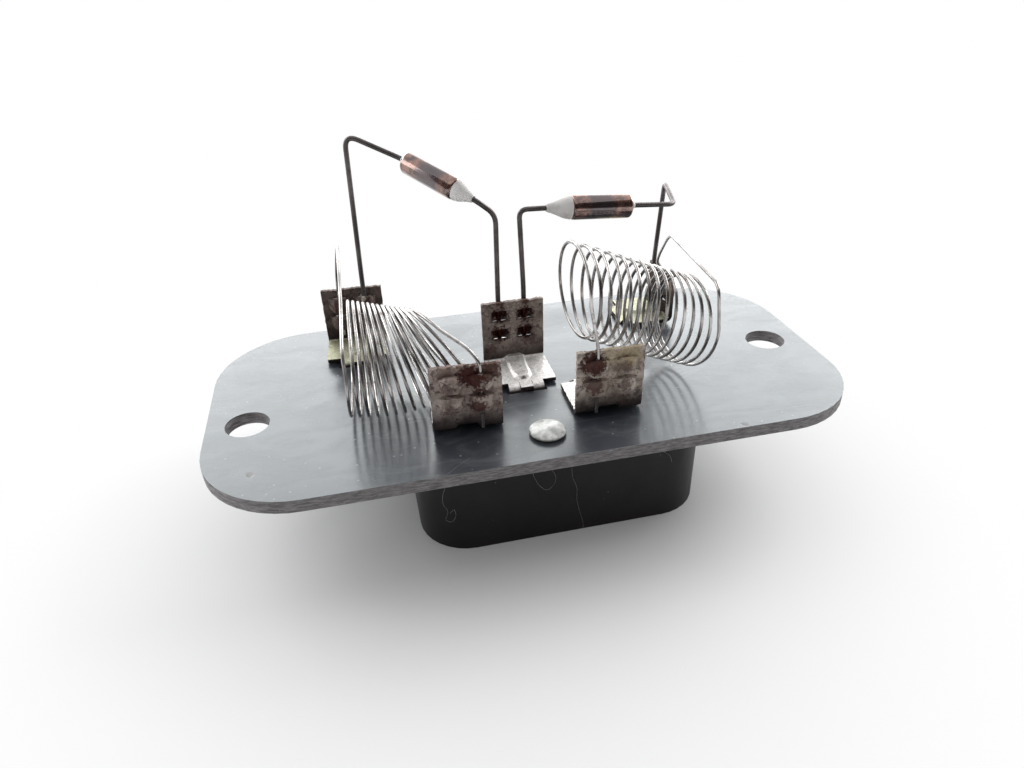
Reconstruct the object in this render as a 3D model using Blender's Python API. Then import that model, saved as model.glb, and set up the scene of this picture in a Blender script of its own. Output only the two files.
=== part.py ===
"""Blower motor resistor: two open wire coils and two thermal cut-offs on an insulating plate.

Frame: the origin is the middle of the plate outline on the resting plane, which is the open
rim of the connector housing. +X runs along the long side, +Y to the rear edge, +Z up.
Lengths below are in millimetres and are turned into metres once, in `metres`.
"""
import math
from collections import namedtuple

import bmesh
import bpy
from mathutils import Matrix, Vector

# Clearances between separate pieces.
SEAT = 0.3
SLOT_CLEARANCE = 0.4

# Mounting plate, an insulating laminate.
PLATE_LENGTH = 110.0
PLATE_DEPTH = 53.4
PLATE_THICKNESS = 2.2
FRONT_CORNER = 15.5
REAR_CORNER = 17.0
MOUNT_HOLE = 7.3
LEFT_HOLE_INSET = 6.7
LEFT_HOLE_Y = -4.6
RIGHT_HOLE_INSET = 7.0
RIGHT_HOLE_Y = -0.7

# Connector housing under the plate, open downward, with a socket shroud inside.
HOUSING_LENGTH = 48.6
HOUSING_DEPTH = 40.0
HOUSING_HEIGHT = 14.6
HOUSING_CORNER = 8.3
HOUSING_X = 1.9
HOUSING_Y = -4.9
HOUSING_WALL = 2.0
HOUSING_ROOF = 3.0
SHROUD_WALL = 1.5
SHROUD_INSET = 1.6
SOCKET_MARGIN = 2.2
SOCKET_DEPTH = 9.8
SOCKET_CORNER = 2.0
KEY_WIDTH = 3.0
KEY_DEPTH = 1.4
KEY_INSET = 1.2
KEY_PITCH = 16.8
RIB_WIDTH = 1.6
RIB_HEIGHT = 5.8

PLATE_BOTTOM = HOUSING_HEIGHT + SEAT
PLATE_TOP = PLATE_BOTTOM + PLATE_THICKNESS

# Rivets that hold the housing to the plate, in line with the middle blade.
RIVET_HEAD = 6.0
RIVET_HEAD_HEIGHT = 1.1
RIVET_RIM = 0.25
RIVET_SHANK = 3.2
RIVET_TAIL = 4.8
RIVET_TAIL_HEIGHT = 1.0
RIVET_INSET = 4.9
RIVET_PITCH = HOUSING_DEPTH - 2 * RIVET_INSET

# Wires.
COIL_WIRE = 0.56
LEAD_WIRE = 0.9
COIL_TURNS = 14
COIL_STEPS = 16

# Folded sheet terminals. Each upright grips two wires in two columns of lanced strips.
SHEET = 0.7
BEND = 0.9
BEND_STEPS = 4
UPRIGHT_WIDTH = 11.3
GRIP_PITCH = 4.7
GRIP_WIDTH = 4.3
CREST_WIDTH = 1.3
STRIP_HEIGHT = 1.8
STRIP_SLIT = 0.35
FIRST_GRIP = 2.7
GRIP_SPACING = 3.6
BLADE_WIDTH = 6.3
BLADE_TIP = 3.0
BLADE_TAPER = 1.6
TONGUE_WIDTH = 2.2
TONGUE_LENGTH = 1.7
TONGUE_SLIT = 0.3
SHOULDER = 0.3
DART_WIDTH = 4.4
DART_CREST = 3.2
DART_HEIGHT = 0.45
DART_INSET = 1.6
CLINCH_LENGTH = 3.4
ROW_MIDDLE = -0.9
ROW_Y = -6.3
BLADE_PITCH = 11.5

GRIP_COLUMN = GRIP_PITCH / 2
FOOT_Z = PLATE_TOP + SEAT + SHEET / 2

Terminal = namedtuple("Terminal", "name tail heading foot height side wire clinched")

# Place of the tail (x, y), heading in degrees, length of the foot from the tail to the upright,
# height of the upright over the plate, and the side that grips: +1 is away from the foot.
CENTRE = Terminal("centre_terminal", (ROW_MIDDLE, ROW_Y), 0.0, 10.2, 12.5, 1, LEAD_WIRE, False)
LEFT_FRONT = Terminal(
    "left_front_terminal", (ROW_MIDDLE - BLADE_PITCH, ROW_Y), 176.3, 9.7, 12.2, 1, COIL_WIRE, False
)
RIGHT_FRONT = Terminal(
    "right_front_terminal", (ROW_MIDDLE + BLADE_PITCH, ROW_Y), 179.0, 10.5, 12.0, 1, COIL_WIRE, False
)
LEFT_REAR = Terminal("left_rear_terminal", (-29.2, 10.8), -3.0, 9.1, 11.6, -1, LEAD_WIRE, True)
RIGHT_REAR = Terminal("right_rear_terminal", (23.9, 16.5), -90.0, 9.4, 9.4, -1, LEAD_WIRE, True)
ROW = (CENTRE, LEFT_FRONT, RIGHT_FRONT)
OUTER = (LEFT_REAR, RIGHT_REAR)

# Thermal cut-offs.
LEFT_CASE_DIAMETER = 3.9
RIGHT_CASE_DIAMETER = 4.4
CASE_LENGTH = 11.3
LEFT_SEAL_LENGTH = 3.6
RIGHT_SEAL_LENGTH = 4.4
SEAL_INSET = 0.1
SEAL_TIP = 1.74
COLLAR_DIAMETER = 1.9
COLLAR_TAPER = 0.25
COLLAR_LENGTH = 0.9
LEAD_BEND = 1.6
LEAD_RUN = 0.6

# Steps from one place to another, as (x, y, z).
# Coils: from the front grip to the first turn's middle, from the rear grip to the last
# turn's middle, and how far the middle turn lies off the straight line between them.
# Then a turn's reach to the front and its rise to the top, for the first, middle and last.
LEFT_COIL_START = (-4.06, 9.96, -1.2)
LEFT_COIL_END = (0.5, -22.78, -2.1)
LEFT_COIL_SAG = (-0.1, 0.1, -1.05)
LEFT_COIL_REACH = ((2.8, -7.5, 1.3), (0.8, -8.9, 0.0), (-0.4, -9.1, 0.7))
LEFT_COIL_RISE = ((-4.0, 0.3, 6.7), (-1.4, 1.6, 8.0), (0.7, 3.1, 8.2))
RIGHT_COIL_START = (-1.55, 9.79, 6.9)
RIGHT_COIL_END = (-4.87, -21.65, 0.7)
RIGHT_COIL_SAG = (1.2, -0.1, -0.7)
RIGHT_COIL_REACH = ((0.6, -8.3, 0.4), (0.0, -7.6, 1.5), (1.7, -8.2, 2.0))
RIGHT_COIL_RISE = ((-0.1, -0.1, 7.9), (0.5, -1.0, 8.4), (-0.4, 0.1, 8.6))
# The left coil leaves its front grip part of the way up its first turn.
LEFT_COIL_FIRST_TURN = 0.125
LEFT_COIL_ENTRY = ((-1.5, 1.8, 2.4),)
# Straight ends in the grips: how far one stands over the upright and ends above the plate,
# and the radius of the bend after it. First the front end of the coil, then the rear end.
LEFT_COIL_OVER = (0.6, 2.0)
LEFT_COIL_GAP = (0.9, 2.4)
LEFT_COIL_BEND = (1.4, 3.0)
RIGHT_COIL_OVER = (0.8, 0.8)
RIGHT_COIL_GAP = (0.9, 2.0)
RIGHT_COIL_BEND = (2.0, 2.6)
LEAD_OVER = 2.0
LEAD_GAP = 2.2
LEFT_COIL_EXIT = ((0.1, -30.7, 3.0), (0.8, -23.1, 7.0), (1.3, -2.1, 11.0))
RIGHT_COIL_EXIT = ((-3.7, -29.0, 10.4), (0.05, -1.15, 8.8), (-1.25, -0.1, 4.5), (-1.6, 0.1, 2.7))
# Cut-offs: from halfway between their two grips to the case's middle, the direction from
# the case to the seal, and the corners of both leads from the grips that they end in.
LEFT_CUTOFF_PLACE = (2.2, -0.33, 21.8)
LEFT_CUTOFF_AIM = (7.4, -8.4, -3.3)
LEFT_CASE_LEAD = ((0.45, 0.9, 28.35),)
LEFT_SEAL_LEAD = ((0.15, 0.1, 15.7),)
RIGHT_CUTOFF_PLACE = (-0.95, -5.2, 16.3)
RIGHT_CUTOFF_AIM = (-12.2, -0.9, 1.1)
RIGHT_CASE_LEAD = ((-1.5, -10.3, 16.2), (0.65, -0.6, 17.2))
RIGHT_SEAL_LEAD = ((-0.5, 0.0, 16.2),)

# Each cut-off with its outer terminal, that terminal's column, the centre terminal's column, the
# diameter of its case and the length of its seal.
Cutoff = namedtuple(
    "Cutoff", "name outer column inner diameter seal place aim case_route seal_route"
)
CUTOFFS = (
    Cutoff(
        "left_cutoff", LEFT_REAR, 1, -1, LEFT_CASE_DIAMETER, LEFT_SEAL_LENGTH,
        LEFT_CUTOFF_PLACE, LEFT_CUTOFF_AIM, LEFT_CASE_LEAD, LEFT_SEAL_LEAD,
    ),
    Cutoff(
        "right_cutoff", RIGHT_REAR, -1, 1, RIGHT_CASE_DIAMETER, RIGHT_SEAL_LENGTH,
        RIGHT_CUTOFF_PLACE, RIGHT_CUTOFF_AIM, RIGHT_CASE_LEAD, RIGHT_SEAL_LEAD,
    ),
)

LAMINATE = ("laminate", (0.030, 0.036, 0.052), 0.22, 0.0)
BLACK_PLASTIC = ("black_plastic", (0.012, 0.010, 0.012), 0.45, 0.0)
ALUMINIUM = ("aluminium", (0.78, 0.77, 0.75), 0.35, 1.0)
TINNED = ("tinned_sheet", (0.30, 0.25, 0.22), 0.45, 1.0)
COIL_METAL = ("resistance_wire", (0.42, 0.39, 0.37), 0.30, 1.0)
LEAD_METAL = ("lead_wire", (0.12, 0.09, 0.08), 0.45, 1.0)
CASE_METAL = ("cutoff_case", (0.22, 0.12, 0.08), 0.30, 1.0)
SEAL_RESIN = ("seal_resin", (0.62, 0.56, 0.53), 0.55, 0.0)


def metres(value):
    return value * 0.001


def clear_scene():
    for item in list(bpy.data.objects):
        bpy.data.objects.remove(item, do_unlink=True)


def material(look):
    name, colour, roughness, metallic = look
    made = bpy.data.materials.get(name)
    if made is None:
        made = bpy.data.materials.new(name)
        made.use_nodes = True
        shader = made.node_tree.nodes["Principled BSDF"]
        shader.inputs["Base Color"].default_value = (*colour, 1.0)
        shader.inputs["Roughness"].default_value = roughness
        shader.inputs["Metallic"].default_value = metallic
    return made


def add_object(name, data, look=None):
    item = bpy.data.objects.new(name, data)
    bpy.context.scene.collection.objects.link(item)
    if look is not None:
        data.materials.append(material(look))
    return item


def mesh_object(name, bm, look=None, smooth=False, place=None):
    """Turn a bmesh in millimetres into an object in metres, standing at its place."""
    bmesh.ops.recalc_face_normals(bm, faces=bm.faces)
    bmesh.ops.scale(bm, vec=Vector((0.001, 0.001, 0.001)), verts=bm.verts)
    data = bpy.data.meshes.new(name)
    bm.to_mesh(data)
    bm.free()
    if smooth:
        data.shade_smooth()
        data.set_sharp_from_angle(angle=math.radians(35))
    item = add_object(name, data, look)
    if place is not None:
        item.location = [metres(value) for value in place.translation]
        item.rotation_euler = place.to_euler()
    return item


def rounded_rectangle(length, depth, front, rear, centre=(0.0, 0.0), steps=8):
    """Corner points counter-clockwise, with one radius for the front and one for the rear."""
    half_x = length / 2
    half_y = depth / 2
    corners = (
        (-1, -1, front, 180),
        (1, -1, front, 270),
        (1, 1, rear, 0),
        (-1, 1, rear, 90),
    )
    points = []
    for side, end, radius, start in corners:
        for step in range(steps + 1):
            angle = math.radians(start + 90 * step / steps)
            x = side * (half_x - radius) + radius * math.cos(angle)
            y = end * (half_y - radius) + radius * math.sin(angle)
            points.append((centre[0] + x, centre[1] + y))
    return points


def rectangle(low_x, high_x, low_y, high_y):
    return [(low_x, low_y), (high_x, low_y), (high_x, high_y), (low_x, high_y)]


def circle(diameter, centre=(0.0, 0.0), steps=32):
    turn = 2 * math.pi / steps
    return [
        (
            centre[0] + diameter / 2 * math.cos(turn * step),
            centre[1] + diameter / 2 * math.sin(turn * step),
        )
        for step in range(steps)
    ]


def prism(outline, bottom, top):
    """Extrude a flat outline from one height to another."""
    bm = bmesh.new()
    face = bm.faces.new([bm.verts.new((x, y, bottom)) for x, y in outline])
    grown = bmesh.ops.extrude_face_region(bm, geom=[face])
    raised = [part for part in grown["geom"] if isinstance(part, bmesh.types.BMVert)]
    bmesh.ops.translate(bm, vec=Vector((0, 0, top - bottom)), verts=raised)
    return bm


def combine(target, name, bm, operation="DIFFERENCE", place=None):
    """Cut a helper solid out of the target, or join it on, through an exact boolean."""
    tool = mesh_object(name, bm, place=place)
    tool.hide_render = True
    tool.display_type = "WIRE"
    step = target.modifiers.new(name, "BOOLEAN")
    step.operation = operation
    step.solver = "EXACT"
    step.object = tool


def along(start, direction):
    """Placement whose local Z runs along a direction."""
    aim = Vector(direction).to_track_quat("Z", "Y").to_matrix().to_4x4()
    return Matrix.Translation(start) @ aim


def turned(name, profile, place, look, steps=24):
    """Spin a profile of (distance along the axis, radius) from pole to pole."""
    bm = bmesh.new()
    rings = []
    for height, radius in profile:
        outline = circle(2 * radius, steps=steps) if radius else [(0.0, 0.0)]
        rings.append([bm.verts.new((x, y, height)) for x, y in outline])
    for low, high in zip(rings, rings[1:]):
        for step in range(steps):
            after = step + 1
            corners = [low[step % len(low)], low[after % len(low)]]
            corners += [high[after % len(high)], high[step % len(high)]]
            bm.faces.new(list(dict.fromkeys(corners)))
    return mesh_object(name, bm, look, True, place)


def tube(name, profile, place, look, steps=20):
    """Spin a closed profile of (distance along the axis, radius) into a ring-shaped piece."""
    bm = bmesh.new()
    rings = [
        [bm.verts.new((x, y, height)) for x, y in circle(2 * radius, steps=steps)]
        for height, radius in profile
    ]
    for low, high in zip(rings, rings[1:] + rings[:1]):
        for step in range(steps):
            after = (step + 1) % steps
            bm.faces.new([low[step], low[after], high[after], high[step]])
    return mesh_object(name, bm, look, True, place)


def rounded_path(points, radius, steps=5):
    """Replace each inner corner of a polyline with a short curve."""
    points = [Vector(point) for point in points]
    path = [points[0]]
    for before, corner, after in zip(points, points[1:], points[2:]):
        reach = min(radius, (corner - before).length * 0.45, (after - corner).length * 0.45)
        start = corner + (before - corner).normalized() * reach
        end = corner + (after - corner).normalized() * reach
        for step in range(steps + 1):
            t = step / steps
            path.append(start * (1 - t) ** 2 + corner * 2 * t * (1 - t) + end * t * t)
    path.append(points[-1])
    return path


def wire(name, points, diameter, look, roundness=1):
    """Sweep a round wire along the points; both ends are closed."""
    curve = bpy.data.curves.new(name, "CURVE")
    curve.dimensions = "3D"
    curve.resolution_u = 1
    curve.render_resolution_u = 0
    curve.bevel_mode = "ROUND"
    curve.bevel_resolution = roundness
    curve.bevel_depth = metres(diameter / 2)
    curve.use_fill_caps = True
    spline = curve.splines.new("POLY")
    spline.points.add(len(points) - 1)
    for knot, point in zip(spline.points, points):
        knot.co = (*[metres(value) for value in point], 1.0)
    spline.use_smooth = True
    return add_object(name, curve, look)


def tail_place(terminal):
    """Placement of a terminal's tail; the foot runs along local +Y to the upright."""
    turn = Matrix.Rotation(math.radians(terminal.heading), 4, "Z")
    return Matrix.Translation((*terminal.tail, 0.0)) @ turn


def upright_place(terminal):
    return tail_place(terminal) @ Matrix.Translation((0.0, terminal.foot, 0.0))


def grip_heights(terminal):
    first = PLATE_TOP + terminal.height - FIRST_GRIP
    return first, first - GRIP_SPACING


def grip_point(terminal, column, height, diameter):
    """A point on the line of a gripped wire, with its height over the plate's top."""
    out = terminal.side * (SHEET / 2 + SEAT + diameter / 2)
    return upright_place(terminal) @ Vector((column * GRIP_COLUMN, out, PLATE_TOP + height))


def grip_top(terminal, column, diameter):
    return grip_point(terminal, column, terminal.height, diameter)


def gripped_end(terminal, column, diameter, over, foot_gap):
    """The straight end of a wire: from over the upright down to just above the foot."""
    return [
        grip_point(terminal, column, terminal.height + over, diameter),
        grip_point(terminal, column, foot_gap, diameter),
    ]


def arc(centre, start, turn, band):
    """Rows round a bend of the middle line; the normal stays on the same side of the sheet."""
    rows = []
    out = math.copysign(1, -turn)
    for step in range(BEND_STEPS + 1):
        angle = math.radians(start + turn * step / BEND_STEPS)
        y = centre[0] + BEND * math.cos(angle)
        z = centre[1] + BEND * math.sin(angle)
        rows.append(("flat", band, y, z, out * math.cos(angle), out * math.sin(angle)))
    return rows


def sheet_rows(terminal):
    """Rows of the folded sheet from its top edge to the end of its tail.

    Each row has the kind of its own line, the kind of the band below it, its place (y, z)
    and the normal (y, z) of the side that faces away from the foot on the upright.
    """
    length = terminal.foot
    rows = [("flat", "bar", 0.0, PLATE_TOP + terminal.height, 1, 0)]
    for middle in grip_heights(terminal):
        high = middle + STRIP_HEIGHT / 2
        low = middle - STRIP_HEIGHT / 2
        rows.append(("flat", "slit", 0.0, high + STRIP_SLIT, 1, 0))
        rows.append(("strip", "strip", 0.0, high, 1, 0))
        rows.append(("strip", "slit", 0.0, low, 1, 0))
        rows.append(("flat", "bar", 0.0, low - STRIP_SLIT, 1, 0))
    bend = arc((-BEND, FOOT_Z + BEND), 0, -90, "bar")
    rows += bend[: BEND_STEPS // 2]
    rows += [("dart", *row[1:]) for row in bend[BEND_STEPS // 2 :]]
    dart_end = -length + BEND + SHOULDER + DART_INSET
    rows.append(("dart", "bar", dart_end, FOOT_Z, 0, -1))
    rows.append(("flat", "bar", dart_end - (DART_WIDTH - DART_CREST) / 2, FOOT_Z, 0, -1))
    rows.append(("flat", "lance", -length + BEND + SHOULDER, FOOT_Z, 0, -1))
    rows += arc((-length + BEND, FOOT_Z - BEND), 90, 90, "lance")
    if terminal.clinched:
        fold = PLATE_BOTTOM - SEAT - SHEET / 2
        rows[-1] = ("flat", "blade", *rows[-1][2:])
        rows += arc((-length + BEND, fold + BEND), 180, 90, "blade")
        rows.append(("flat", "blade", -length + CLINCH_LENGTH, fold, 0, 1))
    else:
        rows.append(("flat", "blade", -length, FOOT_Z - BEND - TONGUE_LENGTH, 1, 0))
        rows.append(("flat", "blade", -length, BLADE_TIP + BLADE_TAPER, 1, 0))
        rows.append(("tip", "blade", -length, BLADE_TIP, 1, 0))
    return rows


def sheet_columns():
    """Sideways places of every edge in the sheet, mirrored about its middle."""
    tongue = TONGUE_WIDTH / 2
    edges = {UPRIGHT_WIDTH / 2, BLADE_WIDTH / 2, tongue, tongue + TONGUE_SLIT}
    edges |= {DART_WIDTH / 2, DART_CREST / 2}
    for width in (GRIP_WIDTH, CREST_WIDTH):
        edges |= {GRIP_COLUMN - width / 2, GRIP_COLUMN + width / 2}
    return sorted({-x for x in edges} | edges)


def has_metal(band, x):
    """Whether a band of the sheet has metal at this distance from its middle."""
    if band == "slit":
        return abs(x - GRIP_COLUMN) > GRIP_WIDTH / 2
    if band == "lance":
        return TONGUE_WIDTH / 2 + TONGUE_SLIT < x < BLADE_WIDTH / 2
    if band == "blade":
        return x < BLADE_WIDTH / 2
    return True


def sheet_point(x, row, lift):
    """Middle-surface point and half-thickness vector at one crossing of the grid."""
    line, _, y, z, normal_y, normal_z = row
    half = SHEET / 2
    offset = Vector((0.0, normal_y * half, normal_z * half))
    away = abs(x) - GRIP_COLUMN
    if line == "strip" and abs(away) <= GRIP_WIDTH / 2 + 1e-6:
        run = (GRIP_WIDTH - CREST_WIDTH) / 2
        y += lift * min(1.0, (GRIP_WIDTH / 2 - abs(away)) / run)
        mitre = half * math.tan(math.atan2(abs(lift), run) / 2)
        mitre *= min(1.0, abs(away) / (CREST_WIDTH / 2))
        if mitre:
            offset.x = math.copysign(mitre, away * x * lift)
    if line == "dart" and abs(x) <= DART_CREST / 2 + 1e-6:
        y -= DART_HEIGHT * normal_y
        z -= DART_HEIGHT * normal_z
    if line == "tip":
        x *= 0.8
        offset *= 0.55
    return Vector((x, y, z)), offset


def close_sheet(middle, offsets):
    """Give a middle surface its thickness: two skins and a wall along every free edge."""
    solid = bmesh.new()
    skins = {}
    for vert in middle.verts:
        point, offset = vert.co, offsets[vert]
        skins[vert] = (solid.verts.new(point + offset), solid.verts.new(point - offset))
    for face in middle.faces:
        solid.faces.new([skins[vert][0] for vert in face.verts])
        solid.faces.new([skins[vert][1] for vert in reversed(face.verts)])
        for loop in face.loops:
            if len(loop.edge.link_faces) == 1:
                start = skins[loop.vert]
                end = skins[loop.link_loop_next.vert]
                solid.faces.new([end[0], start[0], start[1], end[1]])
    middle.free()
    return solid


def folded_terminal(terminal):
    """One folded sheet: upright with lanced grips, foot with a stiffening dart, tongue, tail."""
    lift = terminal.side * (SHEET + 2 * SEAT + terminal.wire)
    columns = sheet_columns()
    rows = sheet_rows(terminal)
    middle = bmesh.new()
    offsets = {}
    knots = {}

    def knot(column, row):
        if (column, row) not in knots:
            point, offset = sheet_point(columns[column], rows[row], lift)
            knots[column, row] = middle.verts.new(point)
            offsets[knots[column, row]] = offset
        return knots[column, row]

    for row in range(len(rows) - 1):
        for column in range(len(columns) - 1):
            if has_metal(rows[row][1], abs(columns[column] + columns[column + 1]) / 2):
                corners = [(column, row), (column + 1, row), (column + 1, row + 1), (column, row + 1)]
                middle.faces.new([knot(*corner) for corner in corners])
    root = next(index for index, row in enumerate(rows) if row[1] == "lance")
    inside = [index for index, x in enumerate(columns) if abs(x) <= TONGUE_WIDTH / 2 + 1e-6]
    ends = {}
    for column in inside:
        ends[column] = middle.verts.new((columns[column], rows[root][2] - TONGUE_LENGTH, FOOT_Z))
        offsets[ends[column]] = offsets[knot(column, root)]
    for column, after in zip(inside, inside[1:]):
        middle.faces.new([knot(column, root), knot(after, root), ends[after], ends[column]])
    solid = close_sheet(middle, offsets)
    mesh_object(terminal.name, solid, TINNED, place=upright_place(terminal))


def tail_slot(bottom, top):
    """Clearance round a terminal's tail where it passes through a piece."""
    half_x = BLADE_WIDTH / 2 + SLOT_CLEARANCE
    half_y = SHEET / 2 + SLOT_CLEARANCE
    return prism(rectangle(-half_x, half_x, -half_y, half_y), bottom, top)


def rivet_places():
    """Front and rear rivet, evenly about the housing's middle."""
    return {
        "front": (ROW_MIDDLE, HOUSING_Y - RIVET_PITCH / 2),
        "rear": (ROW_MIDDLE, HOUSING_Y + RIVET_PITCH / 2),
    }


def mounting_plate():
    outline = rounded_rectangle(PLATE_LENGTH, PLATE_DEPTH, FRONT_CORNER, REAR_CORNER, steps=12)
    plate = mesh_object("mounting_plate", prism(outline, PLATE_BOTTOM, PLATE_TOP), LAMINATE)
    low = PLATE_BOTTOM - 1
    high = PLATE_TOP + 1
    holes = {
        "left": (LEFT_HOLE_INSET - PLATE_LENGTH / 2, LEFT_HOLE_Y),
        "right": (PLATE_LENGTH / 2 - RIGHT_HOLE_INSET, RIGHT_HOLE_Y),
    }
    for side, centre in holes.items():
        combine(plate, f"cut_{side}_mount_hole", prism(circle(MOUNT_HOLE, centre), low, high))
    for end, centre in rivet_places().items():
        bore = circle(RIVET_SHANK + 2 * SEAT, centre, 20)
        combine(plate, f"cut_{end}_rivet_hole", prism(bore, low, high))
    for terminal in ROW + OUTER:
        slot = tail_slot(low, high)
        combine(plate, f"cut_{terminal.name}_slot", slot, place=tail_place(terminal))


def connector_housing():
    """Open moulded shell with a keyed socket shroud round the three blades."""
    centre = (HOUSING_X, HOUSING_Y)
    roof = HOUSING_HEIGHT - HOUSING_ROOF
    corner = HOUSING_CORNER
    outer = rounded_rectangle(HOUSING_LENGTH, HOUSING_DEPTH, corner, corner, centre)
    shell = mesh_object("connector_housing", prism(outer, 0.0, HOUSING_HEIGHT), BLACK_PLASTIC)
    corner -= HOUSING_WALL
    length = HOUSING_LENGTH - 2 * HOUSING_WALL
    depth = HOUSING_DEPTH - 2 * HOUSING_WALL
    cavity = rounded_rectangle(length, depth, corner, corner, centre)
    middle = (ROW_MIDDLE, ROW_Y)
    width = 2 * BLADE_PITCH + BLADE_WIDTH + 2 * SOCKET_MARGIN
    corner = SOCKET_CORNER
    socket = rounded_rectangle(width, SOCKET_DEPTH, corner, corner, middle, 5)
    corner += SHROUD_WALL
    wide = width + 2 * SHROUD_WALL
    shroud = rounded_rectangle(wide, SOCKET_DEPTH + 2 * SHROUD_WALL, corner, corner, middle, 5)
    combine(shell, "cut_cavity", prism(cavity, -1.0, roof))
    combine(shell, "add_shroud", prism(shroud, SHROUD_INSET, roof + 1), "UNION")
    combine(shell, "cut_socket", prism(socket, -1.0, roof))
    wall = ROW_Y + SOCKET_DEPTH / 2
    for side, label in ((-1, "left"), (1, "right")):
        x = ROW_MIDDLE + side * KEY_PITCH / 2
        key = rectangle(
            x - KEY_WIDTH / 2, x + KEY_WIDTH / 2, wall - KEY_DEPTH, wall + SHROUD_WALL / 2
        )
        lip = SHROUD_INSET + KEY_INSET
        combine(shell, f"add_{label}_key", prism(key, lip, roof + 1), "UNION")
        ends = sorted(
            [
                HOUSING_X + side * (HOUSING_LENGTH - HOUSING_WALL) / 2,
                ROW_MIDDLE + side * (width + SHROUD_WALL) / 2,
            ]
        )
        rib = rectangle(*ends, ROW_Y - RIB_WIDTH / 2, ROW_Y + RIB_WIDTH / 2)
        combine(shell, f"add_{label}_rib", prism(rib, roof - RIB_HEIGHT, roof + 1), "UNION")
    for end, centre in rivet_places().items():
        bore = circle(RIVET_SHANK + 2 * SEAT, centre, 20)
        combine(shell, f"cut_{end}_rivet_bore", prism(bore, roof - 1, HOUSING_HEIGHT + 1))
    for terminal in ROW:
        slot = tail_slot(roof - 1, HOUSING_HEIGHT + 1)
        combine(shell, f"cut_{terminal.name}_exit", slot, place=tail_place(terminal))


def rivet(name, centre):
    """Domed head over the plate, shank through both pieces, upset tail in the cavity."""
    head = PLATE_TOP + SEAT
    tail = HOUSING_HEIGHT - HOUSING_ROOF - SEAT
    profile = [
        (tail - RIVET_TAIL_HEIGHT, 0),
        (tail - RIVET_TAIL_HEIGHT, RIVET_TAIL / 2 - 0.5),
        (tail - RIVET_TAIL_HEIGHT * 0.4, RIVET_TAIL / 2),
        (tail, RIVET_TAIL / 2),
        (tail, RIVET_SHANK / 2),
        (head, RIVET_SHANK / 2),
        (head, RIVET_HEAD / 2 - 0.1),
        (head + RIVET_RIM, RIVET_HEAD / 2),
    ]
    steps = 5
    for step in range(1, steps + 1):
        angle = math.pi / 2 * step / steps
        height = head + RIVET_RIM + (RIVET_HEAD_HEIGHT - RIVET_RIM) * math.sin(angle)
        profile.append((height, 0 if step == steps else RIVET_HEAD / 2 * math.cos(angle)))
    turned(name, profile, Matrix.Translation((*centre, 0.0)), ALUMINIUM, 32)


def blend(values, share):
    """Quadratic through the first, middle and last of three values."""
    first, middle, last = (Vector(value) for value in values)
    low = (1 - share) * (1 - 2 * share)
    high = share * (2 * share - 1)
    return first * low + middle * 4 * share * (1 - share) + last * high


def coil_turns(front, rear, steps, reach, rise, first_turn):
    """Points of a coil between a front grip and a rear grip.

    Turns are counted from the first front crossing. Each turn is an ellipse whose middle,
    reach and rise change smoothly from the first turn to the last.
    """
    start, end, sag = (Vector(step) for step in steps)
    first = front + start
    last = rear + end
    middles = (first, (first + last) / 2 + sag, last)
    points = []
    for step in range(round(first_turn * COIL_STEPS), COIL_TURNS * COIL_STEPS + 1):
        turn = step / COIL_STEPS
        share = turn / COIL_TURNS
        angle = 2 * math.pi * turn
        point = blend(middles, share) + blend(reach, share) * math.cos(angle)
        points.append(point + blend(rise, share) * math.sin(angle))
    return points


def offsets_from(anchor, steps):
    return [anchor + Vector(step) for step in steps]


def left_coil():
    front = grip_top(LEFT_FRONT, -1, COIL_WIRE)
    rear = grip_top(LEFT_REAR, -1, COIL_WIRE)
    steps = (LEFT_COIL_START, LEFT_COIL_END, LEFT_COIL_SAG)
    turns = coil_turns(front, rear, steps, LEFT_COIL_REACH, LEFT_COIL_RISE, LEFT_COIL_FIRST_TURN)
    entry = gripped_end(LEFT_FRONT, -1, COIL_WIRE, LEFT_COIL_OVER[0], LEFT_COIL_GAP[0])[::-1]
    entry = [*entry, *offsets_from(front, LEFT_COIL_ENTRY), turns[0]]
    entry = rounded_path(entry, LEFT_COIL_BEND[0])
    exit_end = gripped_end(LEFT_REAR, -1, COIL_WIRE, LEFT_COIL_OVER[1], LEFT_COIL_GAP[1])
    leave = [turns[-1], *offsets_from(rear, LEFT_COIL_EXIT), *exit_end]
    leave = rounded_path(leave, LEFT_COIL_BEND[1])
    wire("left_coil", entry[:-1] + turns + leave[1:], COIL_WIRE, COIL_METAL)


def right_coil():
    front = grip_top(RIGHT_FRONT, 1, COIL_WIRE)
    rear = grip_top(RIGHT_REAR, 1, COIL_WIRE)
    steps = (RIGHT_COIL_START, RIGHT_COIL_END, RIGHT_COIL_SAG)
    turns = coil_turns(front, rear, steps, RIGHT_COIL_REACH, RIGHT_COIL_RISE, 0.0)
    entry = gripped_end(RIGHT_FRONT, 1, COIL_WIRE, RIGHT_COIL_OVER[0], RIGHT_COIL_GAP[0])[::-1]
    entry = rounded_path([*entry, turns[0]], RIGHT_COIL_BEND[0])
    exit_end = gripped_end(RIGHT_REAR, 1, COIL_WIRE, RIGHT_COIL_OVER[1], RIGHT_COIL_GAP[1])
    leave = [turns[-1], *offsets_from(rear, RIGHT_COIL_EXIT), *exit_end]
    leave = rounded_path(leave, RIGHT_COIL_BEND[1])
    wire("right_coil", entry[:-1] + turns + leave[1:], COIL_WIRE, COIL_METAL)


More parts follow.
